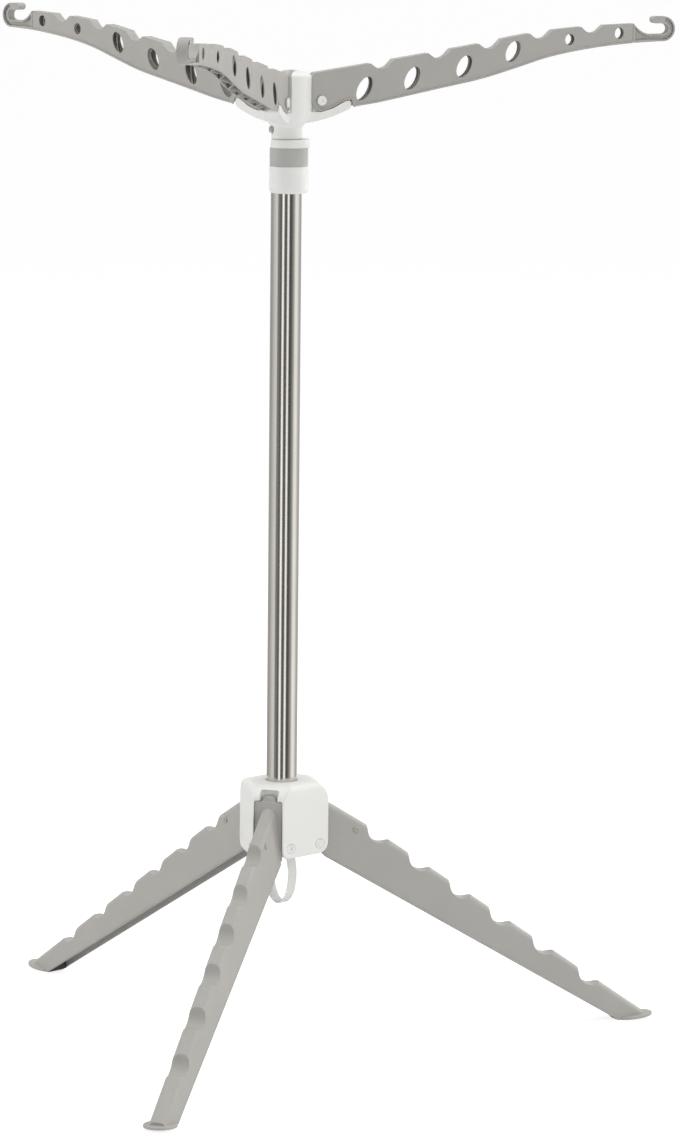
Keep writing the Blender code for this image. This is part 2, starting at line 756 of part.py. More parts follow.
def rounded_crest(mesh):
    """Round the two long edges of a leg's crest."""
    shape = bmesh.new()
    shape.from_mesh(mesh)
    floor = LEG_CREST_HEIGHT - LEG_NOTCH_DEPTH
    edges = []
    for edge in shape.edges:
        start, end = edge.verts
        lowest = min(leg_frame(start.co)[1], leg_frame(end.co)[1])
        if start.co.y * end.co.y > 0.0 and lowest > floor:
            edges.append(edge)
    bmesh.ops.bevel(
        shape, geom=edges, offset=LEG_RIDGE_ROUND, offset_type="OFFSET",
        segments=LEG_RIDGE_ROUND_STEPS, profile=0.5, affect="EDGES", material=-1,
        clamp_overlap=True)
    bmesh.ops.recalc_face_normals(shape, faces=shape.faces)
    shape.to_mesh(mesh)
    shape.free()
    return mesh


def sole_mesh():
    """Oval sole cut straight at its heel, its toe turned up."""
    heel = -0.5 * SOLE_LENGTH * SOLE_HEEL_SHARE
    start = math.acos(-SOLE_HEEL_SHARE)
    points = []
    for step in range(SOLE_SIDES + 1):
        angle = start * (1.0 - 2.0 * step / SOLE_SIDES)
        points.append((
            0.5 * SOLE_LENGTH * math.cos(angle) - heel, 0.5 * SOLE_WIDTH * math.sin(angle)))
    mesh = plan_mesh("sole", points, SOLE_THICKNESS)
    mesh.transform(Matrix.Rotation(-SOLE_TILT, 4, "Y"))
    corner = leg_point(LEG_CREST_END, LEG_CREST_HEIGHT)[0] - SOLE_SPAN
    mesh.transform(Matrix.Translation((corner, 0.0, SOLE_LIFT - LEG_PIN_Z)))
    return mesh


def leg_mesh():
    """Channel leg with its root plate, knuckle, latch tongue and sole."""
    body = rounded_crest(outline_mesh("leg", leg_outline(), LEG_RIDGE_WIDTH))
    cavity_width = LEG_RIDGE_WIDTH - LEG_WALL - LEG_WALL
    cavity = outline_mesh("cavity", leg_cavity_outline(), cavity_width)
    start = leg_point(LEG_CREST_START, 0.0)
    outwards = (math.cos(LEG_SLOPE), -math.sin(LEG_SLOPE))
    cavity = seamed(cavity, start, outwards)
    body = cut(seamed(body, start, outwards), cavity, toe_cutter(), *leg_notches())
    splayed(cleaned(body))
    half = 0.5 * PLATE_WIDTH
    back = PLATE_REACH - PLATE_THICKNESS
    plate = box_mesh("plate", (back, -half, -PLATE_DROP), (PLATE_REACH, half, PLATE_RISE))
    knuckle = rod_mesh("knuckle", KNUCKLE_RADIUS, -half, half, HOLE_SIDES)
    tongue_half = 0.5 * TONGUE_WIDTH
    tongue = rod_mesh("tongue", TONGUE_RADIUS, -tongue_half, tongue_half)
    tongue.transform(Matrix.Translation((back - 0.5 * TONGUE_RADIUS, 0.0, TONGUE_RISE)))
    pin_hole = rod_mesh("pin_hole", LEG_PIN_RADIUS + RUNNING_GAP, -PLATE_WIDTH, PLATE_WIDTH)
    mesh = joined(body, plate, knuckle, tongue, sole_mesh())
    mesh = cut(mesh, pin_hole)
    smooth_shading(mesh)
    return mesh


def foot_pad_mesh():
    """Rubber block inside a leg's foot, which stands on the floor."""
    crest_end = leg_point(LEG_CREST_END, LEG_CREST_HEIGHT)
    heel = crest_end[0] - SOLE_SPAN
    outer = heel - SEAT_GAP
    inner = outer - PAD_LENGTH
    floor = -LEG_PIN_Z
    edge = floor + SOLE_LIFT
    root = PLATE_REACH - 0.5 * PLATE_THICKNESS
    slope = (-LEG_ROOT_DROP - edge) / (heel - HEEL_FLAT - root)
    contact = outer - PAD_CONTACT_LENGTH
    start = heel - HEEL_FLAT - PAD_SHOWN
    rise = edge + slope * (start - inner) - PAD_SHOWN
    crest = crest_end[1] - PAD_TOP_DROP
    points = [
        (inner, rise), (contact, floor), (outer, floor),
        (outer, crest + SOLE_SPAN * math.tan(LEG_SLOPE)),
        (inner, crest + (SOLE_SPAN + PAD_LENGTH) * math.tan(LEG_SLOPE) - LEG_NOTCH_DEPTH)]
    gaps = LEG_WALL + LEG_WALL + SEAT_GAP + SEAT_GAP
    mesh = splayed(outline_mesh("pad", points, LEG_RIDGE_WIDTH - gaps))
    smooth_shading(mesh)
    return mesh


def hub_plan_mesh():
    """Block with three long faces and three short ones, rounded along its top."""
    half = 0.5 * HUB_SLOT_WIDTH + HUB_CHEEK_LIP
    corners = []
    for index in range(LEG_COUNT):
        turn = Matrix.Rotation(index * math.tau / LEG_COUNT, 2)
        for side in (-half, half):
            corner = turn @ Vector((HUB_CORNER_REACH, side))
            corners.append((corner.x, corner.y))
    block = moved(plan_mesh("block", corners, HUB_HEIGHT), (0.0, 0.0, HUB_BOTTOM_Z))
    shape = bmesh.new()
    shape.from_mesh(block)
    middle = HUB_BOTTOM_Z + 0.5 * HUB_HEIGHT
    short_face = half + half
    top = [
        edge for edge in shape.edges
        if all(vertex.co.z > middle for vertex in edge.verts)
        and edge.calc_length() > short_face + HUB_CHEEK_LIP]
    bmesh.ops.bevel(
        shape, geom=top, offset=HUB_TOP_ROUND, segments=HUB_TOP_ROUND_STEPS, profile=0.5,
        affect="EDGES", material=-1, clamp_overlap=True)
    shape.to_mesh(block)
    shape.free()
    return block


def hub_corner_cutters():
    """Pieces that round the hub's shoulder above a leg and its foot about the leg's pin."""
    outer = HUB_CORNER_REACH + OVERRUN
    width = HUB_CORNER_REACH + HUB_CORNER_REACH
    square = math.radians(90.0)
    radius = HUB_FOOT_ROUND
    centre = (HUB_CORNER_REACH - radius, HUB_BOTTOM_Z + radius)
    below = HUB_BOTTOM_Z - OVERRUN
    points = arc_points(centre, radius, -square, 0.0, ARM_CORNER_STEPS + 1)
    points += [(outer, centre[1]), (outer, below), (centre[0], below)]
    foot = outline_mesh("foot_corner", points, width)
    radius = HUB_SHOULDER_ROUND
    centre = (HUB_CORNER_REACH - radius, HUB_TOP_Z - radius)
    above = HUB_TOP_Z + OVERRUN
    points = arc_points(centre, radius, 0.0, square, ARM_CORNER_STEPS + 2)
    points += [(centre[0], above), (outer, above), (outer, centre[1])]
    shoulder = outline_mesh("shoulder_corner", points, width)
    return [foot, shoulder]


def hub_slot_cutters():
    """Space in the base hub for one leg's root, with its pin's bore and seats."""
    half = 0.5 * HUB_SLOT_WIDTH
    outside = HUB_CORNER_REACH + OVERRUN
    below = HUB_BOTTOM_Z - OVERRUN
    roof = HUB_TOP_Z - HUB_ROOF
    plate_top = LEG_PIN_Z + PLATE_RISE + RUNNING_GAP
    knuckle_reach = LEG_PIN_REACH - KNUCKLE_RADIUS - RUNNING_GAP - RUNNING_GAP
    knuckle_roof = LEG_PIN_Z + KNUCKLE_RADIUS + RUNNING_GAP
    window = 0.5 * WINDOW_WIDTH
    slot = box_mesh("slot", (HUB_CORE_REACH, -half, below), (outside, half, plate_top))
    foot = box_mesh("slot_foot", (knuckle_reach, -half, below), (outside, half, knuckle_roof))
    recess_floor = LEG_PIN_Z + TONGUE_RISE - TONGUE_RADIUS - OVERRUN
    recess = box_mesh("recess", (WINDOW_REACH, -window, recess_floor), (outside, window, roof))
    front = HUB_CORE_REACH + PLATE_THICKNESS + SEAT_GAP
    tab_front = box_mesh("tab_front", (front, -half, plate_top - SEAT_GAP), (outside, half, roof))
    reach = HUB_CORNER_REACH
    bore = rod_mesh("bore", LEG_PIN_RADIUS + SEAT_GAP, -reach, reach)
    seat = 0.5 * LEG_PIN_SEAT_WIDTH
    seat_radius = LEG_PIN_HEAD_RADIUS + SEAT_GAP
    seats = [
        rod_mesh("seat", seat_radius, seat, reach, HOLE_SIDES),
        rod_mesh("seat", seat_radius, -reach, -seat, HOLE_SIDES)]
    for mesh in (bore, *seats):
        mesh.transform(Matrix.Translation((LEG_PIN_REACH, 0.0, LEG_PIN_Z)))
    return [slot, foot, recess, tab_front, bore, *seats, *hub_corner_cutters()]


def base_hub_mesh():
    """White base block with the mast's seat, three leg slots and the loop's recess."""
    cutters = []
    for index in range(LEG_COUNT):
        turn = index * math.tau / LEG_COUNT
        for mesh in hub_slot_cutters():
            cutters.append(moved(mesh, (0.0, 0.0, 0.0), turn))
        pocket_top = HUB_TOP_Z - POCKET_ROOF
        profile = disc_profile(POCKET_RADIUS, HUB_BOTTOM_Z - OVERRUN, pocket_top)
        pocket = turned_mesh("pocket", profile, HOLE_SIDES)
        cutters.append(moved(pocket, (POCKET_REACH, 0.0, 0.0), turn + math.pi / LEG_COUNT))
    seat_bottom = TUBE_BOTTOM_Z - SEAT_GAP
    seat_profile = disc_profile(TUBE_RADIUS + TUBE_GAP, seat_bottom, HUB_TOP_Z + OVERRUN)
    cutters.append(turned_mesh("mast_seat", seat_profile))
    half = 0.5 * LOOP_RECESS_WIDTH
    side = 0.5 * LOOP_BAND + RUNNING_GAP
    recess = box_mesh(
        "loop_recess", (-half, -side, HUB_BOTTOM_Z - OVERRUN),
        (half, side, HUB_BOTTOM_Z + LOOP_RECESS_DEPTH))
    cutters.append(moved(recess, (0.0, 0.0, 0.0), LOOP_TURN - LEG_TURN))
    grip = side + LOOP_PIN_GRIP + SEAT_GAP
    pin_bore = rod_mesh("loop_pin_bore", LOOP_PIN_RADIUS + SEAT_GAP, -grip, grip)
    pin_z = HUB_BOTTOM_Z + LOOP_PIN_HEIGHT
    cutters.append(moved(pin_bore, (0.0, 0.0, pin_z), LOOP_TURN - LEG_TURN))
    mesh = cut(hub_plan_mesh(), *cutters)
    smooth_shading(mesh)
    return mesh


def headed_pin_mesh(radius, half_width, head_radius, head_height):
    """Pin along Y with a head at each end."""
    outer = half_width + head_height
    rim = half_width + 0.5 * head_height
    profile = [
        (0.0, rim), (radius, outer), (head_radius, outer), (head_radius, half_width),
        (radius, half_width), (radius, -half_width), (head_radius, -half_width),
        (head_radius, -outer), (radius, -outer), (0.0, -rim)]
    mesh = turned_mesh("pin", profile, PIN_SIDES)
    mesh.transform(Matrix.Rotation(math.radians(-90.0), 4, "X"))
    smooth_shading(mesh)
    return mesh


def leg_pin_mesh():
    """Leg pin whose two round heads end flush with the hub's faces."""
    seat = 0.5 * LEG_PIN_SEAT_WIDTH + SEAT_GAP
    reach = HUB_CORNER_REACH
    profile = [
        (0.0, reach), (LEG_PIN_HEAD_RADIUS, reach), (LEG_PIN_HEAD_RADIUS, seat),
        (LEG_PIN_RADIUS, seat), (LEG_PIN_RADIUS, -seat), (LEG_PIN_HEAD_RADIUS, -seat),
        (LEG_PIN_HEAD_RADIUS, -reach), (0.0, -reach)]
    mesh = turned_mesh("leg_pin", profile, PIN_SIDES)
    mesh.transform(Matrix.Rotation(math.radians(-90.0), 4, "X"))
    half = 0.5 * HUB_SLOT_WIDTH + HUB_CHEEK_LIP
    face = math.pi / LEG_COUNT
    distance = HUB_CORNER_REACH * math.cos(face) + half * math.sin(face) - LEG_PIN_INSET
    planes = []
    for side in (-face, face):
        block = box_mesh("face", (distance, -reach, -reach), (distance + reach, reach, reach))
        block = moved(block, (0.0, 0.0, 0.0), side)
        planes.append(moved(block, (-LEG_PIN_REACH, 0.0, 0.0)))
    mesh = cut(mesh, *planes)
    smooth_shading(mesh)
    return mesh


def loop_mesh():
    """Oval strap ring, taller than wide, about the point where it hangs."""
    middle = LOOP_PIN_RADIUS + SEAT_GAP + LOOP_THICKNESS - 0.5 * LOOP_HEIGHT
    rings = []
    for inset in (0.0, LOOP_THICKNESS):
        points = []
        for step in range(LOOP_SIDES):
            angle = math.tau * step / LOOP_SIDES
            points.append((
                (0.5 * LOOP_WIDTH - inset) * math.cos(angle),
                middle + (0.5 * LOOP_HEIGHT - inset) * math.sin(angle)))
        rings.append(points)
    outer = outline_mesh("loop", rings[0], LOOP_BAND)
    inner = outline_mesh("loop_hole", rings[1], LOOP_BAND + OVERRUN)
    mesh = cut(outer, inner)
    smooth_shading(mesh)
    return mesh


def offset_ring(name, radius, bottom, top, offset):
    """Solid disc shifted off the mast's axis towards the collar's thick side."""
    mesh = turned_mesh(name, disc_profile(radius, bottom, top))
    return moved(mesh, (offset, 0.0, 0.0))


def collar_mesh():
    """Eccentric twist collar about the top of the outer tube."""
    skirt_profile = [(0.0, COLLAR_SKIRT_HEIGHT), (COLLAR_RADIUS, COLLAR_SKIRT_HEIGHT)]
    corner = (COLLAR_RADIUS - COLLAR_ROUND, COLLAR_ROUND)
    skirt_profile += arc_points(corner, COLLAR_ROUND, 0.0, math.radians(-90.0), ARM_CORNER_STEPS)
    skirt_profile.append((0.0, 0.0))
    skirt = moved(turned_mesh("skirt", skirt_profile), (COLLAR_ECCENTRICITY, 0.0, 0.0))
    rim_floor = COLLAR_HEIGHT - RIM_HEIGHT
    core = offset_ring(
        "core", COLLAR_CORE_RADIUS, COLLAR_SKIRT_HEIGHT - OVERRUN, rim_floor + OVERRUN,
        COLLAR_ECCENTRICITY)
    low = (RIM_RADIUS - RIM_ROUND, rim_floor + RIM_ROUND)
    high = (RIM_RADIUS - RIM_ROUND, COLLAR_HEIGHT - RIM_ROUND)
    rim_profile = [(0.0, COLLAR_HEIGHT)]
    rim_profile += arc_points(high, RIM_ROUND, math.radians(90.0), 0.0, 2)
    rim_profile += arc_points(low, RIM_ROUND, 0.0, math.radians(-90.0), 2)
    rim_profile.append((0.0, rim_floor))
    rim = moved(turned_mesh("rim", rim_profile), (RIM_ECCENTRICITY, 0.0, 0.0))
    bore_top = COLLAR_HEIGHT - COLLAR_LIP
    bore = turned_mesh("bore", disc_profile(COLLAR_BORE_RADIUS, -OVERRUN, bore_top))
    mouth_radius = INNER_TUBE_RADIUS + RUNNING_GAP
    mouth = turned_mesh("mouth", disc_profile(mouth_radius, 0.0, COLLAR_HEIGHT + OVERRUN))
    mesh = cut(joined(skirt, core, rim), bore, mouth)
    smooth_shading(mesh)
    return mesh


def collar_band_mesh():
    """Grip band in the collar's groove."""
    inner = COLLAR_CORE_RADIUS + SEAT_GAP
    outer = inner + BAND_THICKNESS
    bottom = COLLAR_SKIRT_HEIGHT + SEAT_GAP
    top = COLLAR_HEIGHT - RIM_HEIGHT - SEAT_GAP
    mesh = turned_mesh("band", ring_profile(outer, inner, bottom, top))
    mesh.transform(Matrix.Translation((COLLAR_ECCENTRICITY, 0.0, 0.0)))
    smooth_shading(mesh)
    return mesh


def collet_mesh():
    """Split clamp ring that sits on the outer tube's end and grips the inner tube."""
    tube_end = TUBE_END_IN_COLLAR + SEAT_GAP
    top = COLLAR_HEIGHT - COLLAR_LIP - SEAT_GAP
    outer = COLLAR_BORE_RADIUS - RUNNING_GAP
    skirt = TUBE_BORE_RADIUS - SEAT_GAP
    bottom = TUBE_END_IN_COLLAR - COLLET_SKIRT_HEIGHT
    profile = [
        (outer, top), (outer, tube_end), (skirt, tube_end), (skirt, bottom),
        (SLEEVE_BORE_RADIUS, bottom), (SLEEVE_BORE_RADIUS, top)]
    ring = turned_mesh("collet", profile)
    half = 0.5 * COLLET_SLIT
    slit = box_mesh("slit", (0.0, -half, 0.0), (COLLAR_RADIUS, half, COLLAR_HEIGHT))
    mesh = cut(ring, slit)
    smooth_shading(mesh)
    return mesh


def head_body_mesh():
    """Neck, disc and domed top turned in one piece, about the height of the arm pins."""
    crown = [(0.0, DOME_RISE)]
    for step in range(1, DOME_STEPS + 1):
        angle = math.radians(90.0) * step / DOME_STEPS
        crown.append((
            PETAL_RADIUS * math.sin(angle) ** DOME_FULLNESS_SHARE,
            DOME_EDGE_RISE + (DOME_RISE - DOME_EDGE_RISE) * math.cos(angle)))
    profile = crown + [
        (PETAL_RADIUS, -DISC_DROP), (FLARE_MID_RADIUS, -FLARE_MID_DROP),
        (FLARE_RADIUS, -FLARE_DROP),
        (NECK_RADIUS, -NECK_SHOULDER_DROP), (NECK_RADIUS, -HEAD_PIN_RISE), (0.0, -HEAD_PIN_RISE)]
    return turned_mesh("head", profile)


def bracket_mesh():
    """Curved bracket under one arm, with the rest at its tip."""
    floor = -ARM_FLOOR_DROP
    points = [
        (-HEAD_PIN_REACH, floor), (SEAT_GAP, floor),
    ]
    for along, up in TIP_SHARES:
        points.append((REST_START + REST_LENGTH * along, REST_DEPTH * up - REST_DROP - SEAT_GAP))
    tip = Vector((BRACKET_TIP_REACH, -BRACKET_TIP_DROP))
    bend = Vector((BRACKET_BEND_REACH, -BRACKET_BEND_DROP))
    root = Vector((FLARE_RADIUS - HEAD_PIN_REACH, -FLARE_DROP))
    for step in range(BRACKET_STEPS + 1):
        points.append(tip.lerp(bend, step / BRACKET_STEPS).lerp(
            bend.lerp(root, step / BRACKET_STEPS), step / BRACKET_STEPS))
    points.append((-HEAD_PIN_REACH, -FLARE_DROP))
    return outline_mesh("bracket", points, BRACKET_WIDTH)


def lug_mesh():
    """Lug inside an arm's root that carries its pin."""
    right = math.radians(180.0)
    points = arc_points((0.0, 0.0), LUG_RADIUS, right, 0.0, PIN_SIDES // 2)
    root = -ARM_FLOOR_DROP - SEAT_GAP - SEAT_GAP
    points += [(LUG_RADIUS, root), (-LUG_RADIUS, root)]
    return outline_mesh("lug", points, LUG_WIDTH)


def head_hub_mesh():
    """White head hub with three arm slots, brackets and lugs."""
    additions = []
    slots = []
    bores = []
    half = 0.5 * ARM_SLOT_WIDTH
    high = DOME_RISE + OVERRUN
    reach = PETAL_RADIUS + OVERRUN
    for index in range(ARM_COUNT):
        turn = index * math.tau / ARM_COUNT
        slots.append(moved(
            box_mesh("slot", (0.0, -half, -ARM_FLOOR_DROP), (reach, half, high)),
            (0.0, 0.0, 0.0), turn))
        for mesh in (bracket_mesh(), lug_mesh()):
            additions.append(moved(mesh, (HEAD_PIN_REACH, 0.0, 0.0), turn))
        bore = rod_mesh("bore", ARM_PIN_RADIUS + SEAT_GAP, -LUG_WIDTH, LUG_WIDTH)
        bores.append(moved(bore, (HEAD_PIN_REACH, 0.0, 0.0), turn))
    tube_profile = disc_profile(SLEEVE_BORE_RADIUS, -HEAD_PIN_RISE - OVERRUN, -NECK_ROOF_DROP)
    tube_bore = turned_mesh("tube_bore", tube_profile)
    mesh = cut(head_body_mesh(), *slots)
    mesh = joined(mesh, *additions)
    mesh = cut(mesh, tube_bore, button_hole(-BUTTON_DROP), *bores)
    smooth_shading(mesh)
    return mesh


def button_hole(height):
    """Bar that cuts the snap button's hole on one side of the mast."""
    mesh = rod_mesh("button_hole", BUTTON_RADIUS + SEAT_GAP, 0.0, NECK_RADIUS + OVERRUN)
    mesh.transform(Matrix.Rotation(BUTTON_TURN - math.radians(90.0), 4, "Z"))
    mesh.transform(Matrix.Translation((0.0, 0.0, height)))
    return mesh


def button_mesh():
    """Round snap button along +X, about the mast's axis."""
    outer = NECK_RADIUS + BUTTON_PROUD
    inner = INNER_TUBE_RADIUS - INNER_TUBE_WALL - BUTTON_STEM
    crown = 0.5 * BUTTON_RADIUS
    profile = [(0.0, outer), (crown, outer - 0.25 * crown), (BUTTON_RADIUS, outer - crown)]
    profile += [(BUTTON_RADIUS, inner), (0.0, inner)]
    mesh = turned_mesh("button", profile, PIN_SIDES)
    mesh.transform(Matrix.Rotation(math.radians(90.0), 4, "Y"))
    smooth_shading(mesh)
    return mesh


def spring_mesh():
    """Leaf spring behind the snap button, bent over like a hairpin."""
    outer = INNER_TUBE_RADIUS - INNER_TUBE_WALL - BUTTON_STEM - SEAT_GAP
    inner = outer - SPRING_THICKNESS
    radius = 0.5 * outer
    bend = math.radians(180.0)
    points = arc_points((outer - radius, -SPRING_LEG), radius, 0.0, -bend, PIN_SIDES // 2)
    points.append((outer - radius - radius, BUTTON_RADIUS))
    points.append((outer - radius - radius + SPRING_THICKNESS, BUTTON_RADIUS))
    points += arc_points(
        (outer - radius, -SPRING_LEG), radius - SPRING_THICKNESS, -bend, 0.0, PIN_SIDES // 2)
    points += [(inner, BUTTON_RADIUS), (outer, BUTTON_RADIUS)]
    mesh = outline_mesh("spring", points, SPRING_WIDTH)
    smooth_shading(mesh)
    return mesh


def radial_place(reach, height, turn):
    """Point at a reach from the mast's axis."""
    return (reach * math.cos(turn), reach * math.sin(turn), height)


def make_mast():
    """Outer tube with its foot plug, and the inner tube with its guide bush."""
    length = TUBE_TOP_Z - TUBE_BOTTOM_Z
    tube = turned_mesh("outer_tube", ring_profile(TUBE_RADIUS, TUBE_BORE_RADIUS, 0.0, length))
    smooth_shading(tube)
    part("outer_tube", tube, "steel", (0.0, 0.0, TUBE_BOTTOM_Z))
    plug = turned_mesh("tube_plug", disc_profile(TUBE_BORE_RADIUS - SEAT_GAP, 0.0, PLUG_HEIGHT))
    smooth_shading(plug)
    part("tube_plug", plug, "white_plastic", (0.0, 0.0, TUBE_BOTTOM_Z))
    bore = INNER_TUBE_RADIUS - INNER_TUBE_WALL
    inner_profile = ring_profile(INNER_TUBE_RADIUS, bore, 0.0, INNER_TUBE_LENGTH)
    inner = turned_mesh("inner_tube", inner_profile)
    button_height = ARM_PIN_Z - BUTTON_DROP - INNER_TUBE_BOTTOM_Z
    inner = cut(inner, button_hole(button_height))
    smooth_shading(inner)
    part("inner_tube", inner, "steel", (0.0, 0.0, INNER_TUBE_BOTTOM_Z))
    flange = TUBE_BORE_RADIUS - SEAT_GAP
    neck = bore - SEAT_GAP
    profile = [
        (0.0, BUSH_HEIGHT), (neck, BUSH_HEIGHT), (neck, -SEAT_GAP), (flange, -SEAT_GAP),
        (flange, -BUSH_FLANGE_HEIGHT), (0.0, -BUSH_FLANGE_HEIGHT)]
    bush = turned_mesh("guide_bush", profile)
    smooth_shading(bush)
    part("guide_bush", bush, "grey_plastic", (0.0, 0.0, INNER_TUBE_BOTTOM_Z))


def make_collar():
    """Twist collar with its grip band and the clamp collet inside it."""
    place = (0.0, 0.0, COLLAR_BOTTOM_Z)
    part("twist_collar", collar_mesh(), "white_plastic", place, COLLAR_TURN)
    part("collar_band", collar_band_mesh(), "grey_plastic", place, COLLAR_TURN)
    part("clamp_collet", collet_mesh(), "white_plastic", place, COLLAR_TURN)


def make_head():
    """Head hub with its arms, arm pins and snap button."""
    part("head_hub", head_hub_mesh(), "white_plastic", (0.0, 0.0, ARM_PIN_Z))
    arm = arm_mesh()
    pin_half = 0.5 * ARM_WIDTH + SEAT_GAP
    pin = headed_pin_mesh(ARM_PIN_RADIUS, pin_half, ARM_PIN_HEAD_RADIUS, ARM_PIN_HEAD_HEIGHT)
    for index in range(ARM_COUNT):
        turn = index * math.tau / ARM_COUNT
        place = radial_place(HEAD_PIN_REACH, ARM_PIN_Z, turn)
        part("arm_%d" % (index + 1), arm, "grey_plastic", place, turn)
        part("arm_pin_%d" % (index + 1), pin, "white_plastic", place, turn)
    button_z = ARM_PIN_Z - BUTTON_DROP
    part("snap_button", button_mesh(), "grey_plastic", (0.0, 0.0, button_z), BUTTON_TURN)
    part("button_spring", spring_mesh(), "steel", (0.0, 0.0, button_z), BUTTON_TURN)


def make_base():
    """Base hub with its legs, leg pins, foot pads and hanging loop."""
    part("base_hub", base_hub_mesh(), "white_plastic", (0.0, 0.0, 0.0), LEG_TURN)
    leg = leg_mesh()
    pad = foot_pad_mesh()
    pin = leg_pin_mesh()
    for index in range(LEG_COUNT):
        turn = LEG_TURN + index * math.tau / LEG_COUNT
        place = radial_place(LEG_PIN_REACH, LEG_PIN_Z, turn)
        part("leg_%d" % (index + 1), leg, "grey_plastic", place, turn)
        part("foot_pad_%d" % (index + 1), pad, "rubber", place, turn)
        part("leg_pin_%d" % (index + 1), pin, "white_plastic", place, turn)
    loop_place = (0.0, 0.0, HUB_BOTTOM_Z + LOOP_PIN_HEIGHT)
    part("hang_loop", loop_mesh(), "strap", loop_place, LOOP_TURN)
    grip = 0.5 * LOOP_BAND + RUNNING_GAP + LOOP_PIN_GRIP
    pin = rod_mesh("loop_pin", LOOP_PIN_RADIUS, -grip, grip, PIN_SIDES)
    smooth_shading(pin)
    part("loop_pin", pin, "steel", loop_place, LOOP_TURN)


clear_scene()
PARTS = new_collection("tripod_clothes_drying_rack")
CUTTERS = new_collection("cutters")
make_base()
make_mast()
make_collar()
make_head()
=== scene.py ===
"""Tripod clothes drying rack, dressed for its picture.

Metres, +Z up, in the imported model's frame: the mast stands on the origin and arm 1 points along +X.
"""
import math

import bmesh
import bpy
from mathutils import Matrix, Vector


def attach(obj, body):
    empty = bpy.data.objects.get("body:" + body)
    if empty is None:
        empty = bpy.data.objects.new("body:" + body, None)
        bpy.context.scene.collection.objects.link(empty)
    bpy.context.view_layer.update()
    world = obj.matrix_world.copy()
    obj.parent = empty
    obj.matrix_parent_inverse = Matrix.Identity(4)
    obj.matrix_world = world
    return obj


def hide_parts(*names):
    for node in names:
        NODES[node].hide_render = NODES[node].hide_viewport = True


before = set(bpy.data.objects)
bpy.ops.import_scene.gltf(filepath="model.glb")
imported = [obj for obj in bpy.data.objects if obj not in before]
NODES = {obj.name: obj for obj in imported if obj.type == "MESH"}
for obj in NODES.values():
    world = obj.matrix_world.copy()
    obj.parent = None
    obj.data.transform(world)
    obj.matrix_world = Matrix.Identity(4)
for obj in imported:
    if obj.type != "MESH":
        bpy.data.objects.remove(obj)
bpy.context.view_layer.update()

# Turns about the mast
THIRD = math.tau / 3.0
ARM_TURNS = (0.0, THIRD, THIRD + THIRD)
LEG_TURN = math.radians(-3.8)
LEG_TURNS = tuple(LEG_TURN + turn for turn in ARM_TURNS)
COLLAR_TURN = math.radians(-15.8)
BUTTON_TURN = math.radians(180.0)
LOOP_TURN = math.radians(-60.8)

# Clearances
SEAT_GAP = 0.0003
RUNNING_GAP = 0.0004
TUBE_GAP = 0.0002
OVERRUN = 0.004

# Mast
TUBE_RADIUS = 0.016
TUBE_WALL = 0.001
INNER_TUBE_RADIUS = 0.014
INNER_TUBE_WALL = 0.0008
TUBE_LIP = 0.0003
TUBE_SIDES = 128

# Legs, about the hinge pin and along the sloping crest
LEG_SLOPE = math.radians(35.1)
LEG_PIN_REACH = 0.0366
LEG_PIN_HEIGHT = 0.21078
LEG_CREST_HEIGHT = 0.0433
LEG_CREST_START = 0.0377
LEG_CREST_LENGTH = 0.3757
LEG_CREST_END = LEG_CREST_START + LEG_CREST_LENGTH
LEG_ROOT_RISE = 0.0441
LEG_ROOT_DROP = 0.0158
LEG_RIDGE_WIDTH = 0.0130
LEG_SPLAY = math.radians(8.6)
LEG_FLARE = math.radians(0.35)
LEG_WALL = 0.0020
LEG_ROOF = 0.0032
LEG_RIDGE_ROUND = 0.0058
LEG_RIDGE_ROUND_STEPS = 8
LEG_NOTCH_WIDTH = 0.0306
LEG_NOTCH_DEPTH = 0.0097
LEG_NOTCH_SHOULDER = math.radians(50.0)
LEG_NOTCH_SHARES = (0.0, 0.148, 0.295, 0.440, 0.596, 0.763)
LEG_NOTCH_STEPS = 18
LEG_LIP_HEIGHT = 0.0018
LEG_LIP_PROUD = 0.0007
PLATE_REACH = 0.0089
PLATE_THICKNESS = 0.0030
PLATE_WIDTH = 0.0300
PLATE_RISE = 0.0502
PLATE_DROP = 0.0125
KNUCKLE_RADIUS = 0.0090
TONGUE_WIDTH = 0.0160
TONGUE_THICKNESS = 0.0070
TONGUE_INSET = 0.0012
TONGUE_TOP = 0.0560
SOLE_LIFT = 0.0004
SOLE_SPAN = 0.0243
SOLE_LENGTH = 0.0450
SOLE_HEEL_SHARE = 0.63
SOLE_WIDTH = 0.0330
SOLE_THICKNESS = 0.0027
SOLE_SIDES = 48
SOLE_TILT = math.radians(5.0)
HEEL_FLAT = 0.0040
PAD_LENGTH = 0.0110
PAD_SHOWN = 0.0008
PAD_CONTACT_LENGTH = 0.0034
PAD_TOP_DROP = 0.0090
LEG_PIN_RADIUS = 0.0030
BOSS_REACH = 0.0424
BOSS_RISE = 0.0102
BOSS_RADIUS = 0.0031

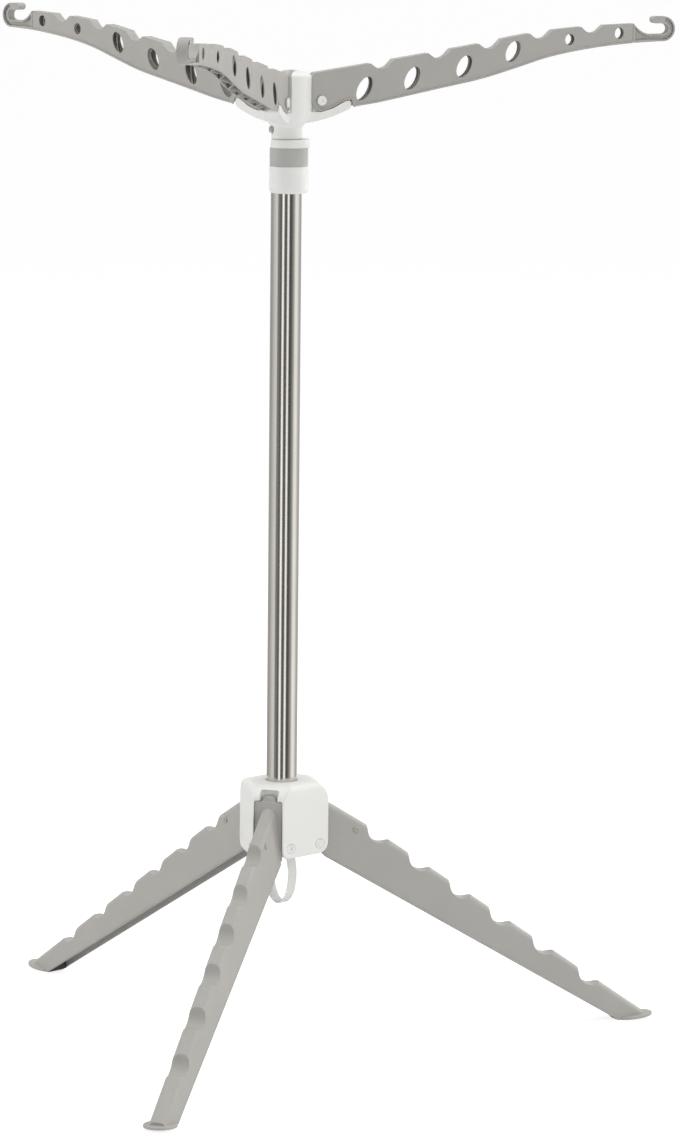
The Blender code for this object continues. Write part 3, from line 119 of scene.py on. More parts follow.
# Arms, about the arm pins
ARM_PIN_REACH = 0.0348
ARM_PIN_HEIGHT = 0.99098
ARM_LENGTH = 0.3887
ARM_RISE = 0.0847
ARM_WIDTH = 0.0175
ARM_TIP_WIDTH_SHARE = 0.60
ARM_WALL = 0.0020
ARM_HEEL_RADIUS = 0.0106
ARM_CORNER_RADIUS = 0.0070
ARM_END_WALL_RISE = 0.0110
ARM_TOP_SHARES = (
    (-0.027, 0.330), (0.136, 0.445), (0.293, 0.561), (0.440, 0.675),
    (0.582, 0.797), (0.728, 0.876), (0.880, 0.913),
)
ARM_BOTTOM_SHARES = (
    (0.092, -0.077), (0.162, -0.026), (0.321, 0.125), (0.450, 0.248),
    (0.535, 0.361), (0.642, 0.509), (0.751, 0.605), (0.876, 0.671), (0.9665, 0.693),
)
ARM_NOTCH_SHARES = (0.170, 0.331, 0.473, 0.616, 0.762)
ARM_NOTCH_WIDTH = 0.0255
ARM_NOTCH_DEPTH = 0.0074
ARM_NOTCH_SHOULDER = math.radians(42.0)
ARM_NOTCH_STEPS = 16
ARM_CURVE_STEPS = 6
ARM_CORNER_STEPS = 8
REST_START = 0.0128
REST_LENGTH = 0.0230
REST_DEPTH = 0.0062
REST_DROP = 0.0068
REST_SHARES = ((0.0, 0.0), (0.30, 0.62), (0.57, 1.06), (0.83, 1.24), (0.92, 0.6), (1.0, 0.0))
HOLE_HEIGHT_SHARES = (0.404, 0.430, 0.460, 0.543, 0.520, 0.554)
HOLE_PLACE_SHARES = (0.1195, 0.253, 0.399, 0.537, 0.698, 0.840)
HOLE_SIDES = 56
BIG_HOLE_COUNT = 4
BIG_HOLE_WIDTH = 0.0140
BIG_HOLE_HEIGHT = 0.0268
BIG_HOLE_LEAN = math.radians(27.0)
BIG_HOLE_LOSS_SHARE = 0.045
SMALL_HOLE_WIDTH = 0.0098
SMALL_HOLE_HEIGHT = 0.0118
SMALL_HOLE_LEAN = math.radians(10.0)
RIB_THICKNESS = 0.0014
RIB_SPAN = 0.0210
RIB_COUNT = 17
RIB_START_SHARE = 0.078
RIB_END_SHARE = 0.842
ARM_PIN_RADIUS = 0.0025
ARM_PIN_HEAD_RADIUS = 0.0050
ARM_PIN_HEAD_HEIGHT = 0.0016
BRACKET_WIDTH = 0.0171

# Hook at an arm's end
HOOK_RADIUS = 0.0130
HOOK_BORE_RADIUS = 0.0056
HOOK_TIP_LENGTH = 0.0085
HOOK_FLOOR_LENGTH = 0.0135
HOOK_ARC_STEPS = 24
HOOK_SHOULDER_SHARES = (
    (0.16, 0.02), (0.32, 0.09), (0.48, 0.21), (0.64, 0.38), (0.78, 0.58), (0.90, 0.82))
HOOK_ROOT_SHARE = 0.864
HOOK_RIM = 0.0017
HOOK_WEB_DEPTH = 0.0027
ARM_RIM = 0.0019
ARM_PANEL_DEPTH = 0.0009
ARM_PARTS = 13

# Softened edges of moulded pieces
FINE_EDGE = 0.0005
SOFT_EDGE = 0.0009
EDGE_STEPS = 2


def mesh_object(name, mesh):
    """Object that shows a mesh, at the origin."""
    obj = bpy.data.objects.new(name, mesh)
    bpy.context.scene.collection.objects.link(obj)
    return obj


def discard(obj):
    """Take away an object that only helped to make another."""
    bpy.data.objects.remove(obj, do_unlink=True)


def mesh_from(shape, name):
    """Mesh of a finished bmesh."""
    mesh = bpy.data.meshes.new(name)
    shape.to_mesh(mesh)
    shape.free()
    return mesh


def plate(name, points, low, high):
    """Plate between two places across Y, from an outline of (along, up) points."""
    shape = bmesh.new()
    corners = [shape.verts.new((along, low, up)) for along, up in points]
    face = shape.faces.new(corners)
    grown = bmesh.ops.extrude_face_region(shape, geom=[face], use_keep_orig=True)
    moved_up = [item for item in grown["geom"] if isinstance(item, bmesh.types.BMVert)]
    bmesh.ops.translate(shape, vec=(0.0, high - low, 0.0), verts=moved_up)
    bmesh.ops.recalc_face_normals(shape, faces=shape.faces)
    return mesh_from(shape, name)


def band(name, outer, inner, low, high):
    """Band between two places across Y, laid between two rows of (along, up) points."""
    shape = bmesh.new()
    rows = []
    for across in (low, high):
        for row in (outer, inner):
            rows.append([shape.verts.new((along, across, up)) for along, up in row])
    sides = ((rows[0], rows[1]), (rows[1], rows[3]), (rows[3], rows[2]), (rows[2], rows[0]))
    for first, second in sides:
        for step in range(len(outer) - 1):
            shape.faces.new((first[step], first[step + 1], second[step + 1], second[step]))
    for step in (0, -1):
        shape.faces.new((rows[0][step], rows[1][step], rows[3][step], rows[2][step]))
    bmesh.ops.recalc_face_normals(shape, faces=shape.faces)
    return mesh_from(shape, name)


def turned(name, profile, sides=TUBE_SIDES):
    """Solid turned about Z from a closed or axis-to-axis profile of (radius, height) points."""
    shape = bmesh.new()
    points = [shape.verts.new((radius, 0.0, height)) for radius, height in profile]
    edges = [shape.edges.new(pair) for pair in zip(points[:-1], points[1:])]
    if profile[0][0] > 0.0:
        edges.append(shape.edges.new((points[-1], points[0])))
    bmesh.ops.spin(
        shape, geom=points + edges, axis=(0.0, 0.0, 1.0), cent=(0.0, 0.0, 0.0),
        angle=math.tau, steps=sides, use_merge=True)
    bmesh.ops.remove_doubles(shape, verts=shape.verts, dist=0.000001)
    bmesh.ops.recalc_face_normals(shape, faces=shape.faces)
    return mesh_from(shape, name)


def block(name, low, high):
    """Box between two corners."""
    shape = bmesh.new()
    bmesh.ops.create_cube(shape, size=1.0)
    low = Vector(low)
    high = Vector(high)
    bmesh.ops.scale(shape, vec=high - low, verts=shape.verts)
    bmesh.ops.translate(shape, vec=0.5 * (low + high), verts=shape.verts)
    return mesh_from(shape, name)


def rod(name, radius, low, high, sides=HOLE_SIDES):
    """Round bar along Y between two places."""
    shape = bmesh.new()
    bmesh.ops.create_cone(
        shape, cap_ends=True, segments=sides, radius1=radius, radius2=radius, depth=high - low)
    turn = Matrix.Rotation(math.radians(-90.0), 4, "X")
    bmesh.ops.transform(shape, matrix=turn, verts=shape.verts)
    bmesh.ops.translate(shape, vec=(0.0, 0.5 * (low + high), 0.0), verts=shape.verts)
    return mesh_from(shape, name)


def boolean(mesh, others, operation):
    """Boolean of a mesh with others, one after another."""
    target = mesh_object("work", mesh)
    tools = []
    for index, other in enumerate(others):
        tools.append(mesh_object("tool", other))
        step = target.modifiers.new("Step %d" % index, "BOOLEAN")
        step.operation = operation
        step.solver = "EXACT"
        step.object = tools[-1]
    bpy.context.view_layer.update()
    graph = bpy.context.evaluated_depsgraph_get()
    result = bpy.data.meshes.new_from_object(target.evaluated_get(graph))
    for helper in [target, *tools]:
        discard(helper)
    return result


def cut(mesh, *others):
    """Take other meshes away."""
    return boolean(mesh, others, "DIFFERENCE")


def fused(mesh, *others):
    """Join other meshes on."""
    return boolean(mesh, others, "UNION")


def placed(mesh, offset, turn=0.0):
    """Shift a mesh, then turn it about the mast."""
    mesh.transform(Matrix.Rotation(turn, 4, "Z") @ Matrix.Translation(offset))
    return mesh


def bent_edges(shape, sharpest=math.radians(32.0)):
    """Edges where two faces meet at a marked angle."""
    return [
        edge for edge in shape.edges
        if len(edge.link_faces) == 2 and edge.calc_face_angle(0.0) > sharpest]


def softened(mesh, width, chosen=None, steps=EDGE_STEPS, level=math.radians(0.6)):
    """Merge a mesh's flat faces and round its marked edges."""
    shape = bmesh.new()
    shape.from_mesh(mesh)
    bmesh.ops.remove_doubles(shape, verts=shape.verts, dist=0.00001)
    bmesh.ops.dissolve_limit(
        shape, angle_limit=level, verts=shape.verts, edges=shape.edges,
        delimit={"SHARP"})
    edges = [edge for edge in bent_edges(shape) if chosen is None or chosen(edge)]
    if edges:
        bmesh.ops.bevel(
            shape, geom=edges, offset=width, offset_type="OFFSET", segments=steps,
            profile=0.5, affect="EDGES", material=-1, clamp_overlap=False, loop_slide=True)
    bmesh.ops.recalc_face_normals(shape, faces=shape.faces)
    shape.to_mesh(mesh)
    shape.free()
    return mesh


def tidied(mesh, reach=0.00002):
    """Close up slivers left where surfaces all but touch."""
    shape = bmesh.new()
    shape.from_mesh(mesh)
    bmesh.ops.remove_doubles(shape, verts=shape.verts, dist=reach)
    bmesh.ops.dissolve_degenerate(shape, edges=shape.edges, dist=0.5 * reach)
    bmesh.ops.recalc_face_normals(shape, faces=shape.faces)
    shape.to_mesh(mesh)
    shape.free()
    return mesh


def seamed(mesh, place, direction):
    """Part a plate along a plane across (along, up), so that its faces can bend there."""
    shape = bmesh.new()
    shape.from_mesh(mesh)
    bmesh.ops.bisect_plane(
        shape, geom=[*shape.verts, *shape.edges, *shape.faces], dist=0.000001,
        plane_co=(place[0], 0.0, place[1]), plane_no=(direction[0], 0.0, direction[1]))
    bmesh.ops.triangulate(shape, faces=shape.faces)
    shape.to_mesh(mesh)
    shape.free()
    return mesh


def arc(centre, radius, start, end, steps):
    """Points on an arc, both ends included."""
    points = []
    for step in range(steps + 1):
        angle = start + (end - start) * step / steps
        points.append((centre[0] + radius * math.cos(angle), centre[1] + radius * math.sin(angle)))
    return points


def notch_points(width, depth, shoulder, steps):
    """Slanted shoulders and a round bottom, as (along, drop) about the notch's middle."""
    half = 0.5 * width
    rounding = (half * math.tan(shoulder) - depth) / (1.0 / math.cos(shoulder) - 1.0)
    points = [(-half, 0.0)]
    for step in range(steps + 1):
        angle = shoulder * (2.0 * step / steps - 1.0)
        points.append((rounding * math.sin(angle), depth - rounding * (1.0 - math.cos(angle))))
    points.append((half, 0.0))
    return points


def curve_height(shares, place):
    """Height share of a smooth curve through given shares, at one place share."""
    last = len(shares) - 2
    index = 0
    while index < last and place > shares[index + 1][0]:
        index += 1
    before = shares[max(index - 1, 0)]
    start = shares[index]
    end = shares[index + 1]
    after = shares[min(index + 2, last + 1)]
    span = end[0] - start[0]
    t = (place - start[0]) / span
    slope_start = (end[1] - before[1]) / (end[0] - before[0]) * span
    slope_end = (after[1] - start[1]) / (after[0] - start[0]) * span
    return (
        (2 * t ** 3 - 3 * t ** 2 + 1) * start[1] + (t ** 3 - 2 * t ** 2 + t) * slope_start
        + (3 * t ** 2 - 2 * t ** 3) * end[1] + (t ** 3 - t ** 2) * slope_end)


def arm_height(shares, along):
    """Height of an arm's edge above the pin."""
    return ARM_RISE * curve_height(shares, along / ARM_LENGTH)


def plain_top(outer, inner, lowering):
    """Points of a crest between two notches, its ends at the notches left out."""
    points = []
    for step in range(1, ARM_CURVE_STEPS):
        along = outer + (inner - outer) * step / ARM_CURVE_STEPS
        points.append((along, arm_height(ARM_TOP_SHARES, along) - lowering))
    return points


def arm_top_points(lowering, widening, start, end):
    """Notched top edge of an arm from its hook end back to its root."""
    notch = notch_points(
        ARM_NOTCH_WIDTH + widening, ARM_NOTCH_DEPTH, ARM_NOTCH_SHOULDER, ARM_NOTCH_STEPS)
    points = []
    reach = end
    for share in reversed(ARM_NOTCH_SHARES):
        middle = share * ARM_LENGTH
        points += plain_top(reach, middle + notch[-1][0], lowering)
        for offset, drop in reversed(notch):
            along = middle + offset
            points.append((along, arm_height(ARM_TOP_SHARES, along) - lowering - drop))
        reach = middle + notch[0][0]
    points += plain_top(reach, start, lowering)
    return points


def arm_bottom_points(start, end, lift, count):
    """Lower edge of an arm between two places, its ends left out."""
    points = []
    for step in range(1, count):
        along = start + (end - start) * step / count
        points.append((along, arm_height(ARM_BOTTOM_SHARES, along) + lift))
    return points


HOOK_CENTRE = (ARM_LENGTH - HOOK_RADIUS, ARM_RISE - HOOK_RADIUS)
RIGHT_ANGLE = math.radians(90.0)


def hook_points():
    """Hook from the arm's underside round to the end of its crest."""
    centre = HOOK_CENTRE
    tip_radius = 0.5 * (HOOK_RADIUS - HOOK_BORE_RADIUS)
    tip = (centre[0] - HOOK_TIP_LENGTH, centre[1] + HOOK_BORE_RADIUS + tip_radius)
    floor_end = (centre[0] - HOOK_FLOOR_LENGTH, centre[1] - HOOK_BORE_RADIUS)
    crest = (ARM_TOP_SHARES[-1][0] * ARM_LENGTH, ARM_TOP_SHARES[-1][1] * ARM_RISE)
    points = arc(centre, HOOK_RADIUS, -RIGHT_ANGLE, RIGHT_ANGLE, HOOK_ARC_STEPS)
    points += arc(tip, tip_radius, RIGHT_ANGLE, 3.0 * RIGHT_ANGLE, ARM_CORNER_STEPS)
    points += arc(centre, HOOK_BORE_RADIUS, RIGHT_ANGLE, -RIGHT_ANGLE, HOOK_ARC_STEPS)
    points.append(floor_end)
    for back, up in HOOK_SHOULDER_SHARES:
        points.append((
            floor_end[0] + (crest[0] - floor_end[0]) * back,
            floor_end[1] + (crest[1] - floor_end[1]) * up))
    points.append(crest)
    return points


def arm_outline():
    """Side view of an arm about its pin."""
    left = math.radians(180.0)
    points = arc((0.0, 0.0), ARM_HEEL_RADIUS, left, left + RIGHT_ANGLE, ARM_CORNER_STEPS)
    for along, up in REST_SHARES:
        points.append((REST_START + REST_LENGTH * along, REST_DEPTH * up - REST_DROP))
    low = ARM_BOTTOM_SHARES[0][0] * ARM_LENGTH
    high = ARM_BOTTOM_SHARES[-1][0] * ARM_LENGTH
    points += arm_bottom_points(low, high, 0.0, 2 * ARM_CURVE_STEPS * len(ARM_BOTTOM_SHARES))
    points += hook_points()
    points += arm_top_points(0.0, 0.0, -ARM_HEEL_RADIUS, ARM_TOP_SHARES[-1][0] * ARM_LENGTH)
    root = arm_height(ARM_TOP_SHARES, -ARM_HEEL_RADIUS + ARM_CORNER_RADIUS) - ARM_CORNER_RADIUS
    corner = (-ARM_HEEL_RADIUS + ARM_CORNER_RADIUS, root)
    points += arc(corner, ARM_CORNER_RADIUS, RIGHT_ANGLE, left, ARM_CORNER_STEPS)
    return points


def arm_cavity_outline():
    """Side view of the open space inside an arm."""
    end = HOOK_ROOT_SHARE * ARM_LENGTH
    inner = ARM_WALL - ARM_HEEL_RADIUS
    below = -ARM_HEEL_RADIUS - OVERRUN
    outside = -ARM_HEEL_RADIUS - OVERRUN
    points = [(outside, below), (end, below), (end, arm_height(ARM_TOP_SHARES, end) - ARM_WALL)]
    points += arm_top_points(ARM_WALL, ARM_WALL, inner, end)
    points.append((inner, arm_height(ARM_TOP_SHARES, inner) - ARM_WALL))
    points.append((inner, ARM_END_WALL_RISE))
    points.append((outside, ARM_END_WALL_RISE))
    return points


def narrowed(mesh):
    """Narrow an arm's shape steadily from the pin to the hook."""
    for vertex in mesh.vertices:
        share = min(max(vertex.co.x / ARM_LENGTH, 0.0), 1.0)
        vertex.co.y *= 1.0 + (ARM_TIP_WIDTH_SHARE - 1.0) * share
    return mesh


def hole_bar(index):
    """Oval bar through both walls of an arm at one of its holes."""
    along = HOLE_PLACE_SHARES[index] * ARM_LENGTH
    top = arm_height(ARM_TOP_SHARES, along)
    bottom = arm_height(ARM_BOTTOM_SHARES, along)
    up = bottom + (top - bottom) * HOLE_HEIGHT_SHARES[index]
    width, height, lean = SMALL_HOLE_WIDTH, SMALL_HOLE_HEIGHT, SMALL_HOLE_LEAN
    if index < BIG_HOLE_COUNT:
        width, lean = BIG_HOLE_WIDTH, BIG_HOLE_LEAN
        height = BIG_HOLE_HEIGHT * (1.0 - BIG_HOLE_LOSS_SHARE * index)
    mesh = rod("hole", 0.5 * width, -ARM_WIDTH, ARM_WIDTH)
    mesh.transform(Matrix.Diagonal((1.0, 1.0, height / width, 1.0)))
    mesh.transform(Matrix.Translation((along, 0.0, up)) @ Matrix.Rotation(lean, 4, "Y"))
    return mesh


def arm_ribs():
    """Slanted ribs that stiffen an arm between its holes."""
    ribs = []
    for index in range(RIB_COUNT):
        share = RIB_START_SHARE + (RIB_END_SHARE - RIB_START_SHARE) * index / (RIB_COUNT - 1)
        side = 1.0 if index % 2 else -1.0
        length = math.hypot(RIB_SPAN, ARM_WIDTH)
        half = 0.5 * RIB_THICKNESS
        rib = block("rib", (-length, -half, -ARM_RISE), (length, half, ARM_RISE + ARM_RISE))
        rib.transform(
            Matrix.Translation((share * ARM_LENGTH, 0.0, 0.0))
            @ Matrix.Rotation(side * math.atan2(ARM_WIDTH, RIB_SPAN), 4, "Z"))
        ribs.append(rib)
    return ribs


def hook_web_cutters():
    """Shallow pockets in both faces of the hook, which leave a rim round its edge."""
    middle = 0.5 * (HOOK_RADIUS + HOOK_BORE_RADIUS)
    half = 0.5 * (HOOK_RADIUS - HOOK_BORE_RADIUS) - HOOK_RIM
    start = -RIGHT_ANGLE
    end = math.radians(78.0)
    root = HOOK_CENTRE[0] - HOOK_FLOOR_LENGTH
    crest = (ARM_TOP_SHARES[-1][0] * ARM_LENGTH, ARM_TOP_SHARES[-1][1] * ARM_RISE)
    floor_height = HOOK_CENTRE[1] - HOOK_BORE_RADIUS
    outer = []
    inner = []
    for back, up in reversed(HOOK_SHOULDER_SHARES):
        along = root + (crest[0] - root) * back
        outer.append((along, arm_height(ARM_BOTTOM_SHARES, along) + 1.5 * HOOK_RIM))
        inner.append((along, floor_height + (crest[1] - floor_height) * up - 1.3 * HOOK_RIM))
    outer.append((root, HOOK_CENTRE[1] - middle - half))
    inner.append((root, HOOK_CENTRE[1] - middle + half))
    outer += arc(HOOK_CENTRE, middle + half, start, end, HOOK_ARC_STEPS)
    inner += arc(HOOK_CENTRE, middle - half, start, end, HOOK_ARC_STEPS)
    floor = 0.5 * ARM_WIDTH - HOOK_WEB_DEPTH / ARM_TIP_WIDTH_SHARE
    return [
        band("web", outer, inner, floor, ARM_WIDTH), band("web", outer, inner, -ARM_WIDTH, -floor)]


def arm_panel_cutters():
    """Shallow panels in both faces of an arm, which leave a rim along its root and underside."""
    left = math.radians(180.0)
    end = ARM_TOP_SHARES[-1][0] * ARM_LENGTH
    low = ARM_BOTTOM_SHARES[0][0] * ARM_LENGTH
    radius = ARM_HEEL_RADIUS - ARM_RIM
    points = arc((0.0, 0.0), radius, left, left + RIGHT_ANGLE, ARM_CORNER_STEPS)
    for along, up in REST_SHARES[:4]:
        points.append((REST_START + REST_LENGTH * along, REST_DEPTH * up - REST_DROP + ARM_RIM))
    points += arm_bottom_points(low, end, ARM_RIM, 2 * ARM_CURVE_STEPS * len(ARM_BOTTOM_SHARES))
    points.append((end, arm_height(ARM_BOTTOM_SHARES, end) + ARM_RIM))
    points += [(end, ARM_RISE + OVERRUN), (-radius, ARM_RISE + OVERRUN)]
    floor = 0.5 * ARM_WIDTH - ARM_PANEL_DEPTH
    return [plate("panel", points, floor, ARM_WIDTH), plate("panel", points, -ARM_WIDTH, -floor)]


def refaced(mesh, reach=0.000002):
    """Merge an arm's flat faces, then part them across its length, so that further cuts are clean."""
    shape = bmesh.new()
    shape.from_mesh(mesh)
    bmesh.ops.remove_doubles(shape, verts=shape.verts, dist=reach)
    bmesh.ops.dissolve_degenerate(shape, edges=shape.edges, dist=reach)
    bmesh.ops.dissolve_limit(
        shape, angle_limit=math.radians(0.05), verts=shape.verts, edges=shape.edges)
    for index in range(1, ARM_PARTS):
        bmesh.ops.bisect_plane(
            shape, geom=[*shape.verts, *shape.edges, *shape.faces], dist=0.000001,
            plane_co=(ARM_LENGTH * index / ARM_PARTS, 0.0, 0.0), plane_no=(1.0, 0.0, 0.0))
    bmesh.ops.triangulate(shape, faces=shape.faces)
    bmesh.ops.recalc_face_normals(shape, faces=shape.faces)
    shape.to_mesh(mesh)
    shape.free()
    return mesh


def outer_arm_edge(edge):
    """Whether an edge lies outside on an arm's walls, before they are narrowed, at no step."""
    limit = 0.5 * ARM_WIDTH - ARM_PANEL_DEPTH - 0.0001
    if any(abs(vertex.co.y) < limit for vertex in edge.verts):
        return False
    for face in edge.link_faces:
        if all(abs(vertex.co.y) > limit for vertex in face.verts) and abs(face.normal.y) < 0.5:
            return False
    return edge.is_convex


def arm_mesh():
    """Channel arm with holes, notches, ribs and a ribbed hook."""
    body = plate("arm", arm_outline(), -0.5 * ARM_WIDTH, 0.5 * ARM_WIDTH)
    half = 0.5 * ARM_WIDTH - ARM_WALL
    cavity = plate("cavity", arm_cavity_outline(), -half, half)
    cavity = cut(refaced(cavity), *arm_ribs())
    holes = [hole_bar(index) for index in range(len(HOLE_PLACE_SHARES))]
    pin_hole = rod("pin_hole", ARM_PIN_RADIUS + RUNNING_GAP, -ARM_WIDTH, ARM_WIDTH)
    faced = refaced(body)
    pockets = [refaced(pocket) for pocket in hook_web_cutters()]
    panels = [refaced(panel) for panel in arm_panel_cutters()]
    for cutters in (pockets, panels, [pin_hole, *holes], [refaced(cavity)]):
        faced = refaced(cut(faced, *cutters))
    return narrowed(softened(faced, FINE_EDGE, outer_arm_edge))


def leg_point(along, across):
    """Place beside the leg pin of a point given along and square to the crest."""
    return (
        along * math.cos(LEG_SLOPE) + across * math.sin(LEG_SLOPE),
        across * math.cos(LEG_SLOPE) - along * math.sin(LEG_SLOPE))


def leg_notch_middles():
    """Places of a leg's notches along its crest."""
    return [
        LEG_CREST_START + LEG_CREST_LENGTH * share + 0.5 * LEG_NOTCH_WIDTH
        for share in LEG_NOTCH_SHARES]


def leg_roof_points():
    """Underside of a leg's notched crest, from the root outwards."""
    notch = notch_points(
        LEG_NOTCH_WIDTH + LEG_WALL, LEG_NOTCH_DEPTH, LEG_NOTCH_SHOULDER, LEG_NOTCH_STEPS)
    return [
        leg_point(middle + offset, LEG_CREST_HEIGHT - LEG_ROOF - drop)
        for middle in leg_notch_middles() for offset, drop in notch]


def leg_notches():
    """Bars that cut the notches across a leg's crest, their shoulders run on above it."""
    notch = notch_points(LEG_NOTCH_WIDTH, LEG_NOTCH_DEPTH, LEG_NOTCH_SHOULDER, LEG_NOTCH_STEPS)
    mouth = 0.5 * LEG_NOTCH_WIDTH + OVERRUN / math.tan(LEG_NOTCH_SHOULDER)
    notch[0] = (-mouth, -OVERRUN)
    notch[-1] = (mouth, -OVERRUN)
    half = 0.5 * (LEG_RIDGE_WIDTH + OVERRUN)
    bars = []
    for middle in leg_notch_middles():
        points = [leg_point(middle + offset, LEG_CREST_HEIGHT - drop) for offset, drop in notch]
        bars.append(plate("notch", points, -half, half))
    return bars


def leg_outline():
    """Side view of a leg about its pin, its crest still plain and its toe too long."""
    root = PLATE_REACH - 0.5 * PLATE_THICKNESS
    heel = leg_point(LEG_CREST_END, LEG_CREST_HEIGHT)[0] - SOLE_SPAN
    sole = SOLE_LIFT - LEG_PIN_HEIGHT
    end = leg_point(LEG_CREST_END + SOLE_SPAN, LEG_CREST_HEIGHT)
    return [
        (root, LEG_ROOT_RISE), leg_point(LEG_CREST_START, LEG_CREST_HEIGHT), end,
        (end[0], end[1] - LEG_CREST_HEIGHT), (heel, sole), (heel - HEEL_FLAT, sole),
        (root, -LEG_ROOT_DROP)]


def toe_cutter():
    """Bar that cuts a leg's toe upright and slants its underside."""
    crest_end = leg_point(LEG_CREST_END, LEG_CREST_HEIGHT)
    heel = crest_end[0] - SOLE_SPAN
    sole = SOLE_LIFT - LEG_PIN_HEIGHT
    outside = crest_end[0] + SOLE_SPAN + SOLE_SPAN
    above = crest_end[1] + LEG_CREST_HEIGHT
    below = sole - LEG_CREST_HEIGHT - LEG_CREST_HEIGHT
    toe_edge = sole + math.tan(SOLE_TILT) * SOLE_SPAN + 0.5 * SOLE_THICKNESS
    points = [
        (crest_end[0], above), (crest_end[0], toe_edge), (heel, sole), (heel, below),
        (outside, below), (outside, above)]
    half = 0.5 * (LEG_RIDGE_WIDTH + OVERRUN)
    return plate("toe", points, -half, half)


def leg_cavity_outline():
    """Side view of the open space inside a leg."""
    crest_end = leg_point(LEG_CREST_END, LEG_CREST_HEIGHT)
    end = crest_end[0] - SOLE_SPAN
    inside = [point for point in leg_roof_points() if point[0] < end]
    sole = SOLE_LIFT - LEG_PIN_HEIGHT
    last = inside[-1]
    points = [(PLATE_REACH, LEG_ROOT_RISE - LEG_WALL - LEG_WALL)]
    points += inside
    points.append((end, last[1] - (end - last[0]) * math.tan(LEG_SLOPE)))
    points.append((end, sole - OVERRUN))
    points.append((PLATE_REACH, -LEG_ROOT_DROP - LEG_ROOT_DROP))
    return points


def leg_lips(ridge):
    """Low beads along the bottom edges of a leg's two flanks."""
    root = (PLATE_REACH, -LEG_ROOT_DROP)
    heel = leg_point(LEG_CREST_END, LEG_CREST_HEIGHT)[0] - SOLE_SPAN - HEEL_FLAT
    foot = (heel, SOLE_LIFT - LEG_PIN_HEIGHT)
    points = [root, foot, (foot[0], foot[1] + LEG_LIP_HEIGHT), (root[0], root[1] + LEG_LIP_HEIGHT)]
    inner = ridge - 0.5 * LEG_WALL
    outer = ridge + LEG_LIP_PROUD
    return [plate("lip", points, inner, outer), plate("lip", points, -outer, -inner)]


def leg_frame(point):
    """Distances of a point along a leg's crest and square to it."""
    along = point.x * math.cos(LEG_SLOPE) - point.z * math.sin(LEG_SLOPE)
    across = point.x * math.sin(LEG_SLOPE) + point.z * math.cos(LEG_SLOPE)
    return along, across


def splayed(mesh):
    """Lean a leg's side walls outwards below its crest and towards its foot."""
    for vertex in mesh.vertices:
        along, across = leg_frame(vertex.co)
        spread = max(LEG_CREST_HEIGHT - across, 0.0) * math.tan(LEG_SPLAY)
        spread += max(along - LEG_CREST_START, 0.0) * math.tan(LEG_FLARE)
        vertex.co.y += math.copysign(spread, vertex.co.y)
    return mesh


def rounded_crest(mesh):
    """Round the two long edges of a leg's crest."""
    shape = bmesh.new()
    shape.from_mesh(mesh)
    floor = LEG_CREST_HEIGHT - LEG_NOTCH_DEPTH
    edges = []
    for edge in shape.edges:
        start, end = edge.verts
        lowest = min(leg_frame(start.co)[1], leg_frame(end.co)[1])
        if start.co.y * end.co.y > 0.0 and lowest > floor:
            edges.append(edge)
    bmesh.ops.bevel(
        shape, geom=edges, offset=LEG_RIDGE_ROUND, offset_type="OFFSET",
        segments=LEG_RIDGE_ROUND_STEPS, profile=0.5, affect="EDGES", material=-1,
        clamp_overlap=True)
    bmesh.ops.recalc_face_normals(shape, faces=shape.faces)
    shape.to_mesh(mesh)
    shape.free()
    return mesh


def sole_mesh():
    """Oval sole cut straight at its heel, its toe turned up."""
    heel = -0.5 * SOLE_LENGTH * SOLE_HEEL_SHARE
    start = math.acos(-SOLE_HEEL_SHARE)
    points = []
    for step in range(SOLE_SIDES + 1):
        angle = start * (1.0 - 2.0 * step / SOLE_SIDES)
        points.append((
            0.5 * SOLE_LENGTH * math.cos(angle) - heel, 0.5 * SOLE_WIDTH * math.sin(angle)))
    mesh = plate("sole", points, 0.0, SOLE_THICKNESS)
    mesh.transform(Matrix.Rotation(RIGHT_ANGLE, 4, "X"))
    low = min(vertex.co.z for vertex in mesh.vertices)
    mesh.transform(Matrix.Translation((0.0, 0.0, -low)))
    mesh.transform(Matrix.Rotation(-SOLE_TILT, 4, "Y"))
    corner = leg_point(LEG_CREST_END, LEG_CREST_HEIGHT)[0] - SOLE_SPAN
    mesh.transform(Matrix.Translation((corner, 0.0, SOLE_LIFT - LEG_PIN_HEIGHT)))
    return mesh


def foot_pad_mesh():
    """Rubber block inside a leg's foot, which stands on the floor."""
    crest_end = leg_point(LEG_CREST_END, LEG_CREST_HEIGHT)
    heel = crest_end[0] - SOLE_SPAN
    outer = heel - SEAT_GAP
    inner = outer - PAD_LENGTH
    floor = -LEG_PIN_HEIGHT
    edge = floor + SOLE_LIFT
    root = PLATE_REACH - 0.5 * PLATE_THICKNESS
    slope = (-LEG_ROOT_DROP - edge) / (heel - HEEL_FLAT - root)
    start = heel - HEEL_FLAT - PAD_SHOWN
    crest = crest_end[1] - PAD_TOP_DROP
    points = [
        (inner, edge + slope * (start - inner) - PAD_SHOWN), (outer - PAD_CONTACT_LENGTH, floor),
        (outer, floor), (outer, crest + SOLE_SPAN * math.tan(LEG_SLOPE)),
        (inner, crest + (SOLE_SPAN + PAD_LENGTH) * math.tan(LEG_SLOPE) - LEG_NOTCH_DEPTH)]
    half = 0.5 * LEG_RIDGE_WIDTH - LEG_WALL - SEAT_GAP
    return softened(splayed(plate("pad", points, -half, half)), 0.5 * SEAT_GAP)


